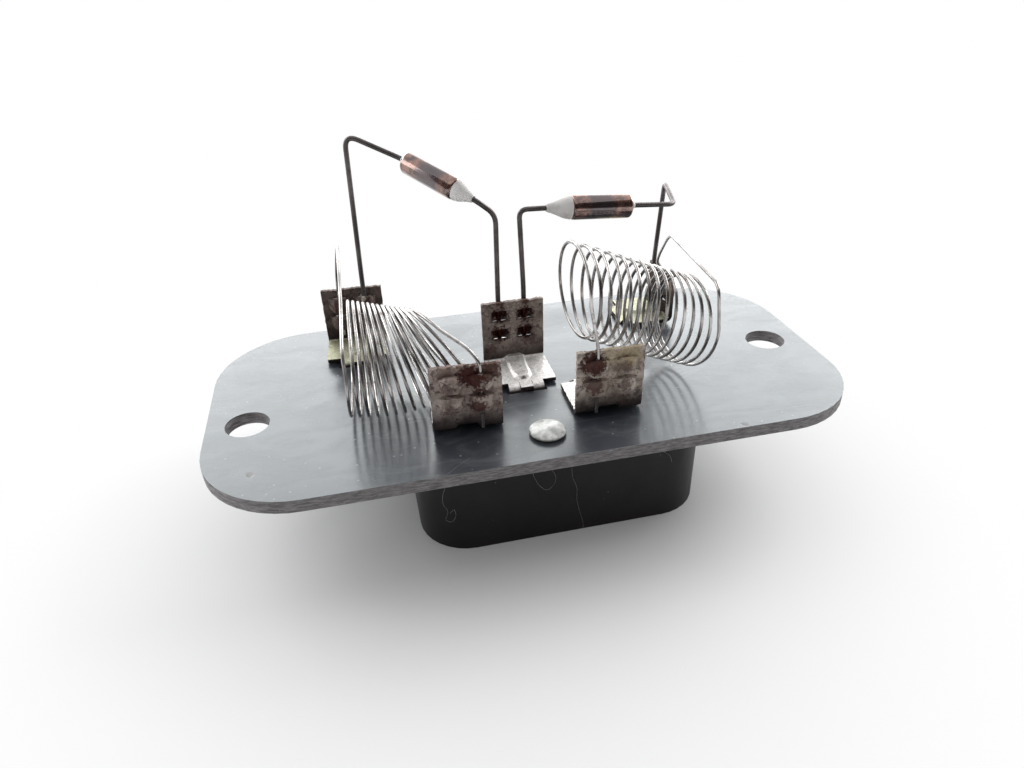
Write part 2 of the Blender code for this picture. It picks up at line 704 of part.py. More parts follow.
def thermal_cutoff(cutoff, middle, case_route, seal_route):
    """Metal case with a resin seal at one end and a collar at the other, and two leads.

    The cut-off's aim runs from the collar end to the seal end.
    """
    name = cutoff.name
    seal_length = cutoff.seal
    direction = Vector(cutoff.aim).normalized()
    start = middle - direction * CASE_LENGTH / 2
    end = middle + direction * CASE_LENGTH / 2
    radius = cutoff.diameter / 2
    case = [
        (0, 0),
        (0, radius - 0.5),
        (0.15, radius - 0.15),
        (0.5, radius),
        (CASE_LENGTH - 0.6, radius),
        (CASE_LENGTH - 0.2, radius - 0.12),
        (CASE_LENGTH, radius - 0.3),
        (CASE_LENGTH, 0),
    ]
    turned(f"{name}_case", case, along(start, direction), CASE_METAL)
    bore = LEAD_WIRE / 2 + SEAT
    wide = radius - SEAL_INSET
    tip = SEAL_TIP / 2
    seal = [
        (0, bore),
        (0, wide),
        (seal_length * 0.2, wide - 0.1),
        (seal_length * 0.82, tip + 0.13),
        (seal_length, tip),
        (seal_length, bore),
    ]
    seal_end = end + direction * SEAT
    tube(f"{name}_seal", seal, along(seal_end, direction), SEAL_RESIN)
    wide = COLLAR_DIAMETER / 2
    collar = [(0, bore), (0, wide), (COLLAR_LENGTH, wide - COLLAR_TAPER / 2), (COLLAR_LENGTH, bore)]
    case_end = start - direction * SEAT
    tube(f"{name}_collar", collar, along(case_end, -direction), SEAL_RESIN)
    case_clear = case_end - direction * (COLLAR_LENGTH + LEAD_RUN)
    seal_clear = seal_end + direction * (seal_length + LEAD_RUN)
    case_path = rounded_path([case_end, case_clear, *case_route], LEAD_BEND)
    seal_path = rounded_path([seal_end, seal_clear, *seal_route], LEAD_BEND)
    wire(f"{name}_case_lead", case_path, LEAD_WIRE, LEAD_METAL, 2)
    wire(f"{name}_seal_lead", seal_path, LEAD_WIRE, LEAD_METAL, 2)


def fitted_cutoff(cutoff):
    """A cut-off strung between an outer terminal and a column of the centre terminal."""
    outer_top = grip_top(cutoff.outer, cutoff.column, LEAD_WIRE)
    inner_top = grip_top(CENTRE, cutoff.inner, LEAD_WIRE)
    middle = (outer_top + inner_top) / 2 + Vector(cutoff.place)
    case_route = offsets_from(outer_top, cutoff.case_route)
    case_route += gripped_end(cutoff.outer, cutoff.column, LEAD_WIRE, LEAD_OVER, LEAD_GAP)
    seal_route = offsets_from(inner_top, cutoff.seal_route)
    seal_route += gripped_end(CENTRE, cutoff.inner, LEAD_WIRE, LEAD_OVER, LEAD_GAP)
    thermal_cutoff(cutoff, middle, case_route, seal_route)


def main():
    clear_scene()
    mounting_plate()
    connector_housing()
    for end, centre in rivet_places().items():
        rivet(f"{end}_rivet", centre)
    for terminal in ROW + OUTER:
        folded_terminal(terminal)
    left_coil()
    right_coil()
    for cutoff in CUTOFFS:
        fitted_cutoff(cutoff)


main()
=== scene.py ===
"""Finished look of a blower motor resistor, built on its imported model.

Sizes in the tables below are in millimetres in the model's own frame, and the settings that a
user may change are in metres. Every mesh is made in metres, with its object at the origin.
"""
import math
from collections import namedtuple

import bmesh
import bpy
from bpy.props import FloatProperty, FloatVectorProperty, IntProperty, PointerProperty
from mathutils import Matrix, Vector, noise


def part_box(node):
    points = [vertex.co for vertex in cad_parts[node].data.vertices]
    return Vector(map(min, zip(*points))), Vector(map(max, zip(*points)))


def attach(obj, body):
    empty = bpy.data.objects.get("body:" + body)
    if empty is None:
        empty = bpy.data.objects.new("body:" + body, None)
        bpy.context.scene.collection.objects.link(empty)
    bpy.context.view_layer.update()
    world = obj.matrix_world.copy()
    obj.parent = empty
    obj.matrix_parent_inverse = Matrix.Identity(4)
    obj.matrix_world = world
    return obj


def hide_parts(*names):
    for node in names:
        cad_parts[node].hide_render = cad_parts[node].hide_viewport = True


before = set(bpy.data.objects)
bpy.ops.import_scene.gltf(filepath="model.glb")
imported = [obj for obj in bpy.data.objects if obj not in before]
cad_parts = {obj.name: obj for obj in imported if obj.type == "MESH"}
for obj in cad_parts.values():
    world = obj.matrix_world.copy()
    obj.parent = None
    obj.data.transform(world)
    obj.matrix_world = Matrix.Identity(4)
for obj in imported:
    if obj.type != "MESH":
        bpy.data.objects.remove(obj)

bl_info = {
    "name": "Blower motor resistor",
    "version": (1, 0, 0),
    "blender": (4, 5, 0),
    "location": "View3D > Sidebar > Resistor",
    "description": "Dresses the packed blower motor resistor and sets up its studio",
    "category": "Object",
}

BODY = "root"

PLATE_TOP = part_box("mounting_plate")[1].z * 1000
PLATE_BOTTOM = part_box("mounting_plate")[0].z * 1000
SEAT = 0.3

SHEET = 0.7
BEND = 0.9
BEND_STEPS = 10
UPRIGHT_WIDTH = 11.3
GRIP_PITCH = 4.7
GRIP_WIDTH = 4.3
STRIP_RUN = 1.4
STRIP_HEIGHT = 1.95
STRIP_SLIT = 0.07
STRIP_ROWS = 6
STRIP_SPREAD = 0.42
STRIP_ARCH = 0.12
STRIP_LEAN = 0.3
GRIP_SEAT = 0.12
FIRST_GRIP = 2.7
GRIP_SPACING = 3.6
BLADE_WIDTH = 6.3
BLADE_TIP = 3.0
BLADE_TAPER = 1.6
TIP_NARROWING = 0.8
TIP_THINNING = 0.55
TONGUE_WIDTH = 2.2
TONGUE_LENGTH = 1.7
TONGUE_SLIT = 0.08
TONGUE_DROP = 0.12
SHOULDER = 0.3
DART_WIDTH = 4.2
DART_CREST = 3.4
DART_HEIGHT = 0.55
DART_SIDE = 0.6
DART_ROUND = 1.5
DART_RISE = 0.9
DART_GAP = 0.9
DART_FADE = 1.8
COLUMN_STEP = 0.2
TOP_RAGGED = 0.16
TOP_WAVES = (0.8, 3.0)
SIDE_RAGGED = 0.12
SIDE_WAVE = 1.2
DENT_START = 3
DENT_WAVE = 0.5
CLINCH_LENGTH = 3.4
GRIP_COLUMN = GRIP_PITCH / 2
FOOT_Z = PLATE_TOP + SEAT + SHEET / 2

COIL_WIRE = 0.56
LEAD_WIRE = 0.9
COIL_TURNS = 14

Terminal = namedtuple("Terminal", "name tail heading foot height side wire clinched")
CENTRE = Terminal("centre_terminal", (-0.9, -6.3), 0.0, 10.2, 12.5, 1, LEAD_WIRE, False)
LEFT_FRONT = Terminal("left_front_terminal", (-12.4, -6.3), 176.3, 9.7, 12.2, 1, COIL_WIRE, False)
RIGHT_FRONT = Terminal("right_front_terminal", (10.6, -6.3), 179.0, 10.5, 12.0, 1, COIL_WIRE, False)
LEFT_REAR = Terminal("left_rear_terminal", (-29.2, 10.8), -3.0, 9.1, 11.6, -1, LEAD_WIRE, True)
RIGHT_REAR = Terminal("right_rear_terminal", (23.9, 16.5), -90.0, 9.4, 9.4, -1, LEAD_WIRE, True)

# Turned outlines: the case's two ends as (distance from the end, inset), the others as
# (height, radius).
CASE_LENGTH = 11.3
CASE_FOOT = ((0, 0.55), (0.06, 0.35), (0.2, 0.14), (0.38, 0.04), (0.6, 0))
CASE_SHOULDER = ((0.7, 0), (0.4, 0.03), (0.18, 0.11), (0.04, 0.24), (0, 0.4))
LEAD_BORE = LEAD_WIRE / 2 + 0.02
COLLAR_LENGTH = 0.9
COLLAR = [
    (0, LEAD_BORE), (0, 0.92), (0.15, 0.86), (0.4, 0.72), (0.7, 0.6), (COLLAR_LENGTH, 0.53),
    (COLLAR_LENGTH, LEAD_BORE),
]
SEAL_SEAT = 0.05
SEAL_INSET = 0.12
SEAL_LIP = 0.06
SEAL_HOLLOW = 0.08
SEAL_CURVE = 0.85
RIVET_TAIL = ((0, 0), (0, 1.7), (0.25, 2.2), (0.6, 2.4), (1.0, 2.4), (1.0, 1.6))
RIVET_BRIM = ((0, 1.6), (0, 2.85), (0.12, 2.97))
RIVET_RIM = 0.25
RIVET_DOME = 0.85
RIVET_RADIUS = 3.0
RIVET_STEPS = 12
LEAD_OVER = 2.0
LEAD_GAP = 2.2
LEAD_RUN = 0.6

# Stains of the terminals and painted glints, each as a dark and a light tone in linear colour.
SCORCH = ((0.034, 0.008, 0.006), (0.100, 0.026, 0.019))
RUSTY = ((0.055, 0.024, 0.019), (0.16, 0.080, 0.058))
TAN = ((0.42, 0.34, 0.22), (0.62, 0.53, 0.38))
# Painted glints: bright highlights painted on the sheet beside some grips, set out like the stains.
PAINTED_GLINT = ((0.55, 0.52, 0.45), (0.95, 0.93, 0.85))
PALE = ((0.27, 0.215, 0.19), (0.62, 0.53, 0.47))
# Painted shade: a single tone that darkens the uprights towards the plate, where they lie in shade
# and mirror the dark plate.
PAINTED_SHADE = (0.020, 0.012, 0.016)

# A stain or a painted glint, by its column, its distance below the upright's top edge, its reach and
# its tones.
Burn = namedtuple("Burn", "column down radius tones strength")
CENTRE_GRIPS = [(column, down) for column in (-1, 1) for down in (2.5, 6.1)]
CENTRE_BURNS = [Burn(0.0, 1.0, 2.2, PALE, 0.8), Burn(0.1, 4.4, 1.6, PALE, 0.5)]
CENTRE_BURNS += [Burn(column, down, 1.8, SCORCH, 0.96) for column, down in CENTRE_GRIPS]
CENTRE_BURNS += [Burn(column, 0.1, 0.9, RUSTY, 0.9) for column in (-1, 1)]
CENTRE_BURNS += [Burn(1.2, 7.6, 1.5, SCORCH, 0.5), Burn(-1.9, 9.0, 1.3, SCORCH, 0.5)]
LEFT_FRONT_BURNS_AND_GLINTS = (
    Burn(-1.6, 1.0, 2.2, RUSTY, 0.9), Burn(-0.36, 1.8, 2.3, SCORCH, 0.96),
    Burn(-0.9, 4.2, 1.3, SCORCH, 0.85), Burn(-0.7, 7.0, 1.5, SCORCH, 0.85),
    Burn(1.3, 3.2, 1.3, SCORCH, 0.6), Burn(1.2, 7.2, 1.3, SCORCH, 0.5),
    # The last two are painted glints beside the grips.
    Burn(0.40, 3.2, 0.3, PAINTED_GLINT, 0.6), Burn(-0.32, 3.4, 0.3, PAINTED_GLINT, 0.5),
)
RIGHT_FRONT_BURNS_AND_GLINTS = (
    Burn(-1.3, 0.7, 2.6, TAN, 0.9), Burn(0.1, 0.9, 1.8, TAN, 0.7),
    Burn(1.34, 1.8, 2.4, SCORCH, 0.95), Burn(1.25, 5.6, 1.7, SCORCH, 0.75),
    Burn(-0.9, 2.6, 1.3, SCORCH, 0.6), Burn(-0.9, 6.0, 1.3, SCORCH, 0.65),
    # The last is a painted glint beside a grip.
    Burn(0.42, 2.6, 0.4, PAINTED_GLINT, 0.8),
)
LEFT_REAR_BURNS_AND_GLINTS = (
    Burn(-1.0, 2.5, 1.8, RUSTY, 0.7), Burn(1.0, 2.2, 1.2, SCORCH, 0.6),
    # The last is a painted glint at the lead's grip.
    Burn(0.9, 1.6, 0.6, PAINTED_GLINT, 0.8),
)
RIGHT_REAR_BURNS = (Burn(-1.0, 2.5, 1.7, RUSTY, 0.7), Burn(1.0, 2.5, 1.6, SCORCH, 0.6))

# Tones of each terminal: upright, rust in it, and the upper side of the foot, whose brightness is
# partly painted light; then its stains and painted glints.
Look = namedtuple("Look", "dark light rust foot_dark foot_light burns")
LOOKS = {
    CENTRE: Look(
        (0.210, 0.168, 0.150), (0.470, 0.395, 0.352), (0.220, 0.140, 0.115),
        (0.76, 0.74, 0.72), (1.0, 0.99, 0.97), CENTRE_BURNS,
    ),
    LEFT_FRONT: Look(
        (0.235, 0.187, 0.168), (0.590, 0.505, 0.455), (0.240, 0.140, 0.115),
        (0.58, 0.56, 0.54), (0.95, 0.94, 0.91), LEFT_FRONT_BURNS_AND_GLINTS,
    ),
    RIGHT_FRONT: Look(
        (0.300, 0.248, 0.213), (0.700, 0.610, 0.535), (0.280, 0.180, 0.140),
        (0.58, 0.56, 0.54), (0.95, 0.94, 0.91), RIGHT_FRONT_BURNS_AND_GLINTS,
    ),
    LEFT_REAR: Look(
        (0.115, 0.082, 0.072), (0.240, 0.195, 0.170), (0.120, 0.062, 0.046),
        (0.35, 0.35, 0.23), (0.64, 0.64, 0.48), LEFT_REAR_BURNS_AND_GLINTS,
    ),
    RIGHT_REAR: Look(
        (0.115, 0.085, 0.070), (0.250, 0.210, 0.175), (0.120, 0.065, 0.046),
        (0.35, 0.35, 0.23), (0.64, 0.64, 0.48), RIGHT_REAR_BURNS,
    ),
}

# Each coil: first turn's middle from the front grip, last turn's middle from the rear grip, and
# how far the middle turn hangs off the line between them. Then reach and rise of three turns.
Coil = namedtuple("Coil", "front column rear rear_column start end sag reach rise first_turn")
LEFT_COIL = Coil(
    LEFT_FRONT, -1, LEFT_REAR, -1,
    (-4.06, 9.96, -1.2), (0.5, -22.78, -2.1), (-0.1, 0.1, -1.05),
    ((2.8, -7.5, 1.3), (0.8, -8.9, 0.0), (-0.4, -9.1, 0.7)),
    ((-4.0, 0.3, 6.7), (-1.4, 1.6, 8.0), (0.7, 3.1, 8.2)),
    0.125,
)
RIGHT_COIL = Coil(
    RIGHT_FRONT, 1, RIGHT_REAR, 1,
    (-1.55, 9.79, 6.9), (-4.87, -21.65, 0.7), (1.2, -0.1, -0.7),
    ((0.6, -8.3, 0.4), (0.0, -7.6, 1.5), (1.7, -8.2, 2.0)),
    ((-0.1, -0.1, 7.9), (0.5, -1.0, 8.4), (-0.4, 0.1, 8.6)),
    0.0,
)

# The straight ends of each coil: corners from the front grip, how far the wire stands over the
# terminal and how broadly it is bent, then corners from the rear grip, the same two sizes with
# the height of the wire's end over the plate between them.
Ends = namedtuple("Ends", "entry over entry_bend leave rear_over gap exit_bend")
LEFT_ENDS = Ends(
    ((-1.5, 1.8, 2.4),), 0.6, 1.4,
    ((0.1, -30.7, 3.0), (0.8, -23.1, 7.0), (1.3, -2.1, 11.0)), 2.0, 2.4, 3.0,
)
RIGHT_ENDS = Ends(
    (), 0.8, 2.0,
    ((-3.7, -29.0, 10.4), (0.05, -1.15, 8.8), (-1.25, -0.1, 4.5), (-1.6, 0.1, 2.7)), 0.8, 2.0, 2.6,
)
COILS = {"left": (LEFT_COIL, LEFT_ENDS), "right": (RIGHT_COIL, RIGHT_ENDS)}
FRONT_GAP = 0.9

# Each cut-off: its outer terminal and column, the centre terminal's column, the case's diameter
# and the seal's length, the case's middle from halfway between the two grips, the direction from
# case to seal, the corners of both leads from their grips, and how broadly each lead is bent.
Cutoff = namedtuple(
    "Cutoff",
    "name outer column inner diameter seal place aim case_route seal_route case_bend seal_bend",
)
CUTOFFS = (
    Cutoff(
        "left_cutoff", LEFT_REAR, 1, -1, 3.9, 3.6, (2.2, -0.33, 21.8), (7.4, -8.4, -3.3),
        ((0.45, 0.9, 28.35),), ((0.15, 0.1, 15.7),), 2.6, 1.7,
    ),
    Cutoff(
        "right_cutoff", RIGHT_REAR, -1, 1, 4.4, 4.4, (-0.95, -5.2, 16.3), (-12.2, -0.9, 1.1),
        ((-1.5, -10.3, 16.2), (0.65, -0.6, 17.2)), ((-0.5, 0.0, 16.2),), 1.6, 1.6,
    ),
)

# Soft lights all round the back: power in watts, extent and place in metres.
LIGHTS = {
    "low_window": (3.8, (1.6, 0.22), (0.0, 0.80, 0.13)),
    "window": (3.8, (1.3, 0.5), (0.12, 0.75, 0.42)),
    "right_light": (5.1, (0.5, 0.4), (0.69, 0.25, 0.345)),
    "left_light": (2.6, (0.5, 0.4), (-0.52, 0.44, 0.444)),
    "far_left_light": (1.9, (0.5, 0.4), (-0.70, 0.19, 0.358)),
}
LIGHT_TARGET = (0.0, 0.0, 0.02)
FLOOR_REACH = 3.0
# Middle of the floor's fade to emitted white, set in the core of the object's shadow: the fade is
# painted light that clears the shadow's outer part.
FADE_MIDDLE = (-0.01, -0.015, 0.0)

# Fibres of lint, as listed points: (x, z) on the housing's front, (x, y) on the plate.
LINT_FACE = -25.05
LINT_LIFT = 0.05
HOUSING_LINT = (
    ((1.66, 13.37), (1.86, 11.33), (2.57, 9.14), (2.63, 6.62), (3.2, 3.94), (3.78, 1.63),
     (3.83, 0.3)),
    ((-18.37, 13.94), (-18.95, 12.3), (-19.08, 10.53), (-18.43, 8.76), (-18.86, 7.21),
     (-17.94, 6.59), (-17.23, 7.67), (-17.47, 8.96), (-18.14, 8.29)),
    ((-4.82, 14.5), (-4.68, 13.47), (-3.89, 11.31), (-2.59, 9.82), (-1.44, 10.39),
     (-0.95, 11.91), (-1.61, 13.63), (-2.74, 14.4)),
    ((16.33, 14.5), (17.13, 13.51), (18.26, 12.49), (18.73, 11.18)),
)
PLATE_LINT = ((-18.17, -26.38), (-16.79, -25.26), (-15.37, -24.11), (-14.16, -23.4))
LINT = [[(x, LINT_FACE, z) for x, z in fibre] for fibre in HOUSING_LINT]
LINT.append([(x, y, PLATE_TOP + LINT_LIFT) for x, y in PLATE_LINT])

# Tones of dirt and wear in linear colour, then the floor's clouds, the card that only reflections
# see, and white.
SMEAR = (0.085, 0.092, 0.105)
FILM = (0.13, 0.14, 0.145)
SCRATCH = (0.26, 0.27, 0.29)
DUST = (0.50, 0.50, 0.51)
CUT_GRIT = (0.50, 0.47, 0.47)
HOUSING_DUST = (0.30, 0.28, 0.27)
RIVET_DIRT = (0.15, 0.145, 0.14)
TIN_SPOT = (0.055, 0.034, 0.034)
TIN_GRAIN = (0.50, 0.45, 0.42)
FOOT_SPOT = (0.20, 0.19, 0.20)
COIL_STAIN = (0.12, 0.078, 0.070)
LEAD_STAIN = (0.075, 0.045, 0.033)
CASE_SPOT = (0.020, 0.014, 0.017)
CASE_GRAIN = (0.45, 0.32, 0.25)
FLOOR_CLOUD = (0.88, 0.88, 0.89)
# Emitted by a card that only reflections see: a painted dark reflection in the metal parts.
CARD_TONE = (0.06, 0.055, 0.055)
WHITE = (1.0, 1.0, 1.0)

# Chipped places in the plate's front edge and on its left end.
CHIPS = (((30.3, -26.1, PLATE_TOP), 0.7), ((-46.9, -18.8, PLATE_TOP), 0.8))


# Shader and geometry trees

def socket_of(sockets, key):
    """A socket by its index, identifier or name, whichever fits first."""
    if isinstance(key, int):
        return sockets[key]
    for socket in sockets:
        if socket.identifier == key:
            return socket
    return sockets[key]


class Value:
    """An output socket. Arithmetic on numbers adds Math nodes to its tree."""

    def __init__(self, graph, socket):
        self.graph = graph
        self.socket = socket

    def math(self, operation, *terms):
        sockets = dict(enumerate(terms))
        return self.graph.node("ShaderNodeMath", {"operation": operation}, sockets)

    def __add__(self, other):
        return self.math("ADD", self, other)

    def __radd__(self, other):
        return self.math("ADD", other, self)

    def __sub__(self, other):
        return self.math("SUBTRACT", self, other)

    def __rsub__(self, other):
        return self.math("SUBTRACT", other, self)

    def __mul__(self, other):
        return self.math("MULTIPLY", self, other)

    def __rmul__(self, other):
        return self.math("MULTIPLY", other, self)

    def __truediv__(self, other):
        return self.math("DIVIDE", self, other)

    def __rtruediv__(self, other):
        return self.math("DIVIDE", other, self)

    def __gt__(self, other):
        return self.math("GREATER_THAN", self, other)

    def __lt__(self, other):
        return self.math("LESS_THAN", self, other)

    def __abs__(self):
        return self.math("ABSOLUTE", self)

    def high(self, other):
        return self.math("MAXIMUM", self, other)

    def low(self, other):
        return self.math("MINIMUM", self, other)

    def rise(self, start, end):
        """Smooth step from 0 at start to 1 at end, which may be the lower of the two."""
        if start > end:
            return 1 - self.rise(end, start)
        sockets = {"Value": self, "From Min": start, "From Max": end}
        return self.graph.node("ShaderNodeMapRange", {"interpolation_type": "SMOOTHSTEP"}, sockets)


class Graph:
    """A node tree in which every node is made by one method."""

    def __init__(self, tree):
        self.tree = tree

    def feed(self, socket, value):
        if isinstance(value, Value):
            self.tree.links.new(value.socket, socket)
        elif value is not None:
            if socket.type == "RGBA" and len(value) == 3:
                value = (*value, 1.0)
            socket.default_value = value

    def node(self, kind, settings=None, sockets=None, output=0):
        made = self.tree.nodes.new(kind)
        for name, value in (settings or {}).items():
            setattr(made, name, value)
        for key, value in (sockets or {}).items():
            self.feed(socket_of(made.inputs, key), value)
        return Value(self, socket_of(made.outputs, output)) if made.outputs else made

    def vector(self, operation, *terms, output=0):
        sockets = {}
        for place, term in enumerate(terms):
            sockets["Scale" if operation == "SCALE" and place == 1 else place] = term
        return self.node("ShaderNodeVectorMath", {"operation": operation}, sockets, output)

    def seen_directly(self):
        """One for rays from the camera or off a glossy or clear surface, else zero."""
        path = self.tree.nodes.new("ShaderNodeLightPath")
        names = ("Is Camera Ray", "Is Glossy Ray", "Is Transmission Ray")
        camera, glossy, clear = (Value(self, path.outputs[name]) for name in names)
        return camera.high(glossy).high(clear)

    def parts(self, vector):
        """The three numbers of a vector."""
        made = self.tree.nodes.new("ShaderNodeSeparateXYZ")
        self.feed(made.inputs[0], vector)
        return [Value(self, socket) for socket in made.outputs]


class Surface(Graph):
    """A material on object coordinates, around one Principled shader."""

    def __init__(self, name, **constants):
        self.material = bpy.data.materials.new(name)
        self.material.use_nodes = True
        super().__init__(self.material.node_tree)
        self.shader = self.tree.nodes["Principled BSDF"]
        for socket, value in constants.items():
            self.feed(self.shader.inputs[socket.replace("_", " ")], value)
        self.here = self.node("ShaderNodeTexCoord", output="Object")

    def stretched(self, scale, turn=0.0):
        """Object coordinates, scaled and then turned about the vertical by so many degrees."""
        angles = (0.0, 0.0, math.radians(turn))
        sockets = {"Vector": self.here, "Scale": scale, "Rotation": angles}
        return self.node("ShaderNodeMapping", None, sockets)

    def noise(self, scale, detail=3.0, rough=0.55, where=None, distortion=0.0):
        sockets = {"Vector": where or self.here, "Scale": scale, "Detail": detail}
        sockets.update({"Roughness": rough, "Distortion": distortion})
        return self.node("ShaderNodeTexNoise", None, sockets)

    def specks(self, scale, share, where=None):
        """Small round dots in a share of the cells of a random grid."""
        sockets = {"Vector": where or self.here, "Scale": scale, "Randomness": 1.0}
        made = self.tree.nodes.new("ShaderNodeTexVoronoi")
        for key, value in sockets.items():
            self.feed(made.inputs[key], value)
        pick = self.parts(Value(self, made.outputs["Color"]))[0]
        return Value(self, made.outputs["Distance"]).rise(0.22, 0.08) * (pick < share)

    def near(self, place, radius, ragged=0.35, scale=900.0, stretch=(1.0, 1.0, 1.0)):
        """A ragged patch about a place in millimetres, drawn in along the stretched axes."""
        middle = tuple(value * 0.001 for value in place)
        away = self.vector("MULTIPLY", self.vector("SUBTRACT", self.here, middle), stretch)
        away = self.vector("LENGTH", away, output="Value") * (1000.0 / radius)
        return (away + (self.noise(scale, 4.0) - 0.5) * (2 * ragged)).rise(1.0, 0.6)

    def mix(self, share, first, second):
        settings = {"data_type": "RGBA"}
        sockets = {"Factor_Float": share, "A_Color": first, "B_Color": second}
        return self.node("ShaderNodeMix", settings, sockets, "Result_Color")

    def bump(self, height, distance, strength=1.0, under=None):
        sockets = {"Height": height, "Distance": distance, "Strength": strength, "Normal": under}
        return self.node("ShaderNodeBump", None, sockets)

    def finish(self, **inputs):
        for socket, value in inputs.items():
            self.feed(self.shader.inputs[socket.replace("_", " ")], value)
        return self.material

    def blend(self, share, first, second):
        """End the material in a share of the second shader over the first."""
        mixed = self.node("ShaderNodeMixShader", None, {0: share, 1: first, 2: second})
        self.feed(self.tree.nodes["Material Output"].inputs["Surface"], mixed)
        return self.material


class Tree(Graph):
    """A geometry tree with named inputs, ending in one geometry output."""

    def __init__(self, name, inputs):
        tree = bpy.data.node_groups.new(name, "GeometryNodeTree")
        super().__init__(tree)
        tree.interface.new_socket("Geometry", in_out="INPUT", socket_type="NodeSocketGeometry")
        tree.interface.new_socket("Geometry", in_out="OUTPUT", socket_type="NodeSocketGeometry")
        for label, kind in inputs.items():
            tree.interface.new_socket(label, in_out="INPUT", socket_type="NodeSocket" + kind)
        self.entry = tree.nodes.new("NodeGroupInput")

    def given(self, label):
        return Value(self, self.entry.outputs[label])

    def finish(self, geometry):
        real = self.node("GeometryNodeRealizeInstances", None, {"Geometry": geometry})
        finished = self.node(
            "GeometryNodeSetMaterial", None, {"Geometry": real, "Material": self.given("Material")}
        )
        leave = self.tree.nodes.new("NodeGroupOutput")
        self.feed(leave.inputs[0], finished)
        return self.tree


def placed(name, data):
    """A new object in the scene for a mesh, light or camera."""
    item = bpy.data.objects.new(name, data)
    bpy.context.scene.collection.objects.link(item)
    return item


def chain_edges(points):
    """Edges that join each point to the next."""
    return [(number, number + 1) for number in range(len(points) - 1)]


def plain_mesh(item):
    """The evaluated mesh of an object, which is taken away with its modifiers."""
    depsgraph = bpy.context.evaluated_depsgraph_get()
    data = bpy.data.meshes.new_from_object(item.evaluated_get(depsgraph), depsgraph=depsgraph)
    item.modifiers.clear()
    bpy.data.objects.remove(item, do_unlink=True)
    return data


def grown(points, edges, tree, values):
    """Run a geometry tree on a set of points and edges and keep the mesh that it makes."""
    data = bpy.data.meshes.new("seed")
    data.from_pydata([[value * 0.001 for value in point] for point in points], edges, [])
    item = placed("seed", data)
    step = item.modifiers.new("tree", "NODES")
    step.node_group = tree
    for socket in tree.interface.items_tree:
        if socket.item_type == "SOCKET" and socket.in_out == "INPUT" and socket.name in values:
            step[socket.identifier] = values[socket.name]
    item.update_tag()
    bpy.context.view_layer.update()
    return plain_mesh(item)


def add_piece(name, data, slot, *nodes):
    """Put a finished mesh in the scene in place of the nodes that it stands for."""
    data.name = name
    item = placed(name, data)
    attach(item, BODY)
    if nodes:
        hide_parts(*nodes)
    return item


def outward(data):
    bm = bmesh.new()
    bm.from_mesh(data)
    bmesh.ops.recalc_face_normals(bm, faces=bm.faces)
    bm.to_mesh(data)
    bm.free()
    return data


def wire_tree():
    """Round wire along every chain of edges, with its length kept as an attribute."""
    tree = Tree("round wire", {"Diameter": "Float", "Sides": "Int", "Material": "Material"})
    path = tree.node("GeometryNodeMeshToCurve", None, {"Mesh": tree.given("Geometry")})
    return tree.finish(swept(tree, path))


def swept(tree, path):
    length = tree.node("GeometryNodeSplineParameter", output="Length")
    settings = {"data_type": "FLOAT", "domain": "POINT"}
    sockets = {"Geometry": path, "Name": "along", "Value": length}
    path = tree.node("GeometryNodeStoreNamedAttribute", settings, sockets)
    ring = {"Resolution": tree.given("Sides"), "Radius": tree.given("Diameter") * 0.5}
    ring = tree.node("GeometryNodeCurvePrimitiveCircle", None, ring)
    sockets = {"Curve": path, "Profile Curve": ring, "Fill Caps": True}
    tube = tree.node("GeometryNodeCurveToMesh", None, sockets)
    return tree.node("GeometryNodeSetShadeSmooth", None, {"Geometry": tube, "Shade Smooth": True})


COIL_VECTORS = [f"{part} {turn}" for part in ("Middle", "Reach", "Rise") for turn in (1, 2, 3)]


def coil_tree():
    """Coil of ellipses whose middle, reach and rise change smoothly from turn to turn.

    The chain of points that goes in holds the straight ends. The points between them, which
    start at First point, are moved to their places on the turns.
    """
    inputs = {"First point": "Int", "Steps": "Int", "First turn": "Float", "Turns": "Float"}
    inputs.update({label: "Vector" for label in COIL_VECTORS})
    inputs.update({"Diameter": "Float", "Sides": "Int", "Material": "Material"})
    tree = Tree("coil of turns", inputs)
    index = tree.node("GeometryNodeInputIndex")
    steps = tree.given("Steps")
    turns = tree.given("Turns")
    first = tree.given("First turn")
    step = index - tree.given("First point")
    turn = first + step * (1.0 / steps)
    share = turn / turns
    weights = (
        (1 - share) * (1 - 2 * share), 4 * share * (1 - share), share * (2 * share - 1)
    )
    angle = turn * (2 * math.pi)
    swings = {"Middle": None, "Reach": angle.math("COSINE", angle), "Rise": angle.math("SINE", angle)}
    place = None
    for part, swing in swings.items():
        for number, weight in enumerate(weights, 1):
            amount = weight if swing is None else weight * swing
            moved = tree.vector("SCALE", tree.given(f"{part} {number}"), amount)
            place = moved if place is None else tree.vector("ADD", place, moved)
    inside = (step > -0.5) * (turn < turns + 0.001)
    sockets = {"Geometry": tree.given("Geometry"), "Selection": inside, "Position": place}
    chain = tree.node("GeometryNodeSetPosition", None, sockets)
    path = tree.node("GeometryNodeMeshToCurve", None, {"Mesh": chain})
    return tree.finish(swept(tree, path))


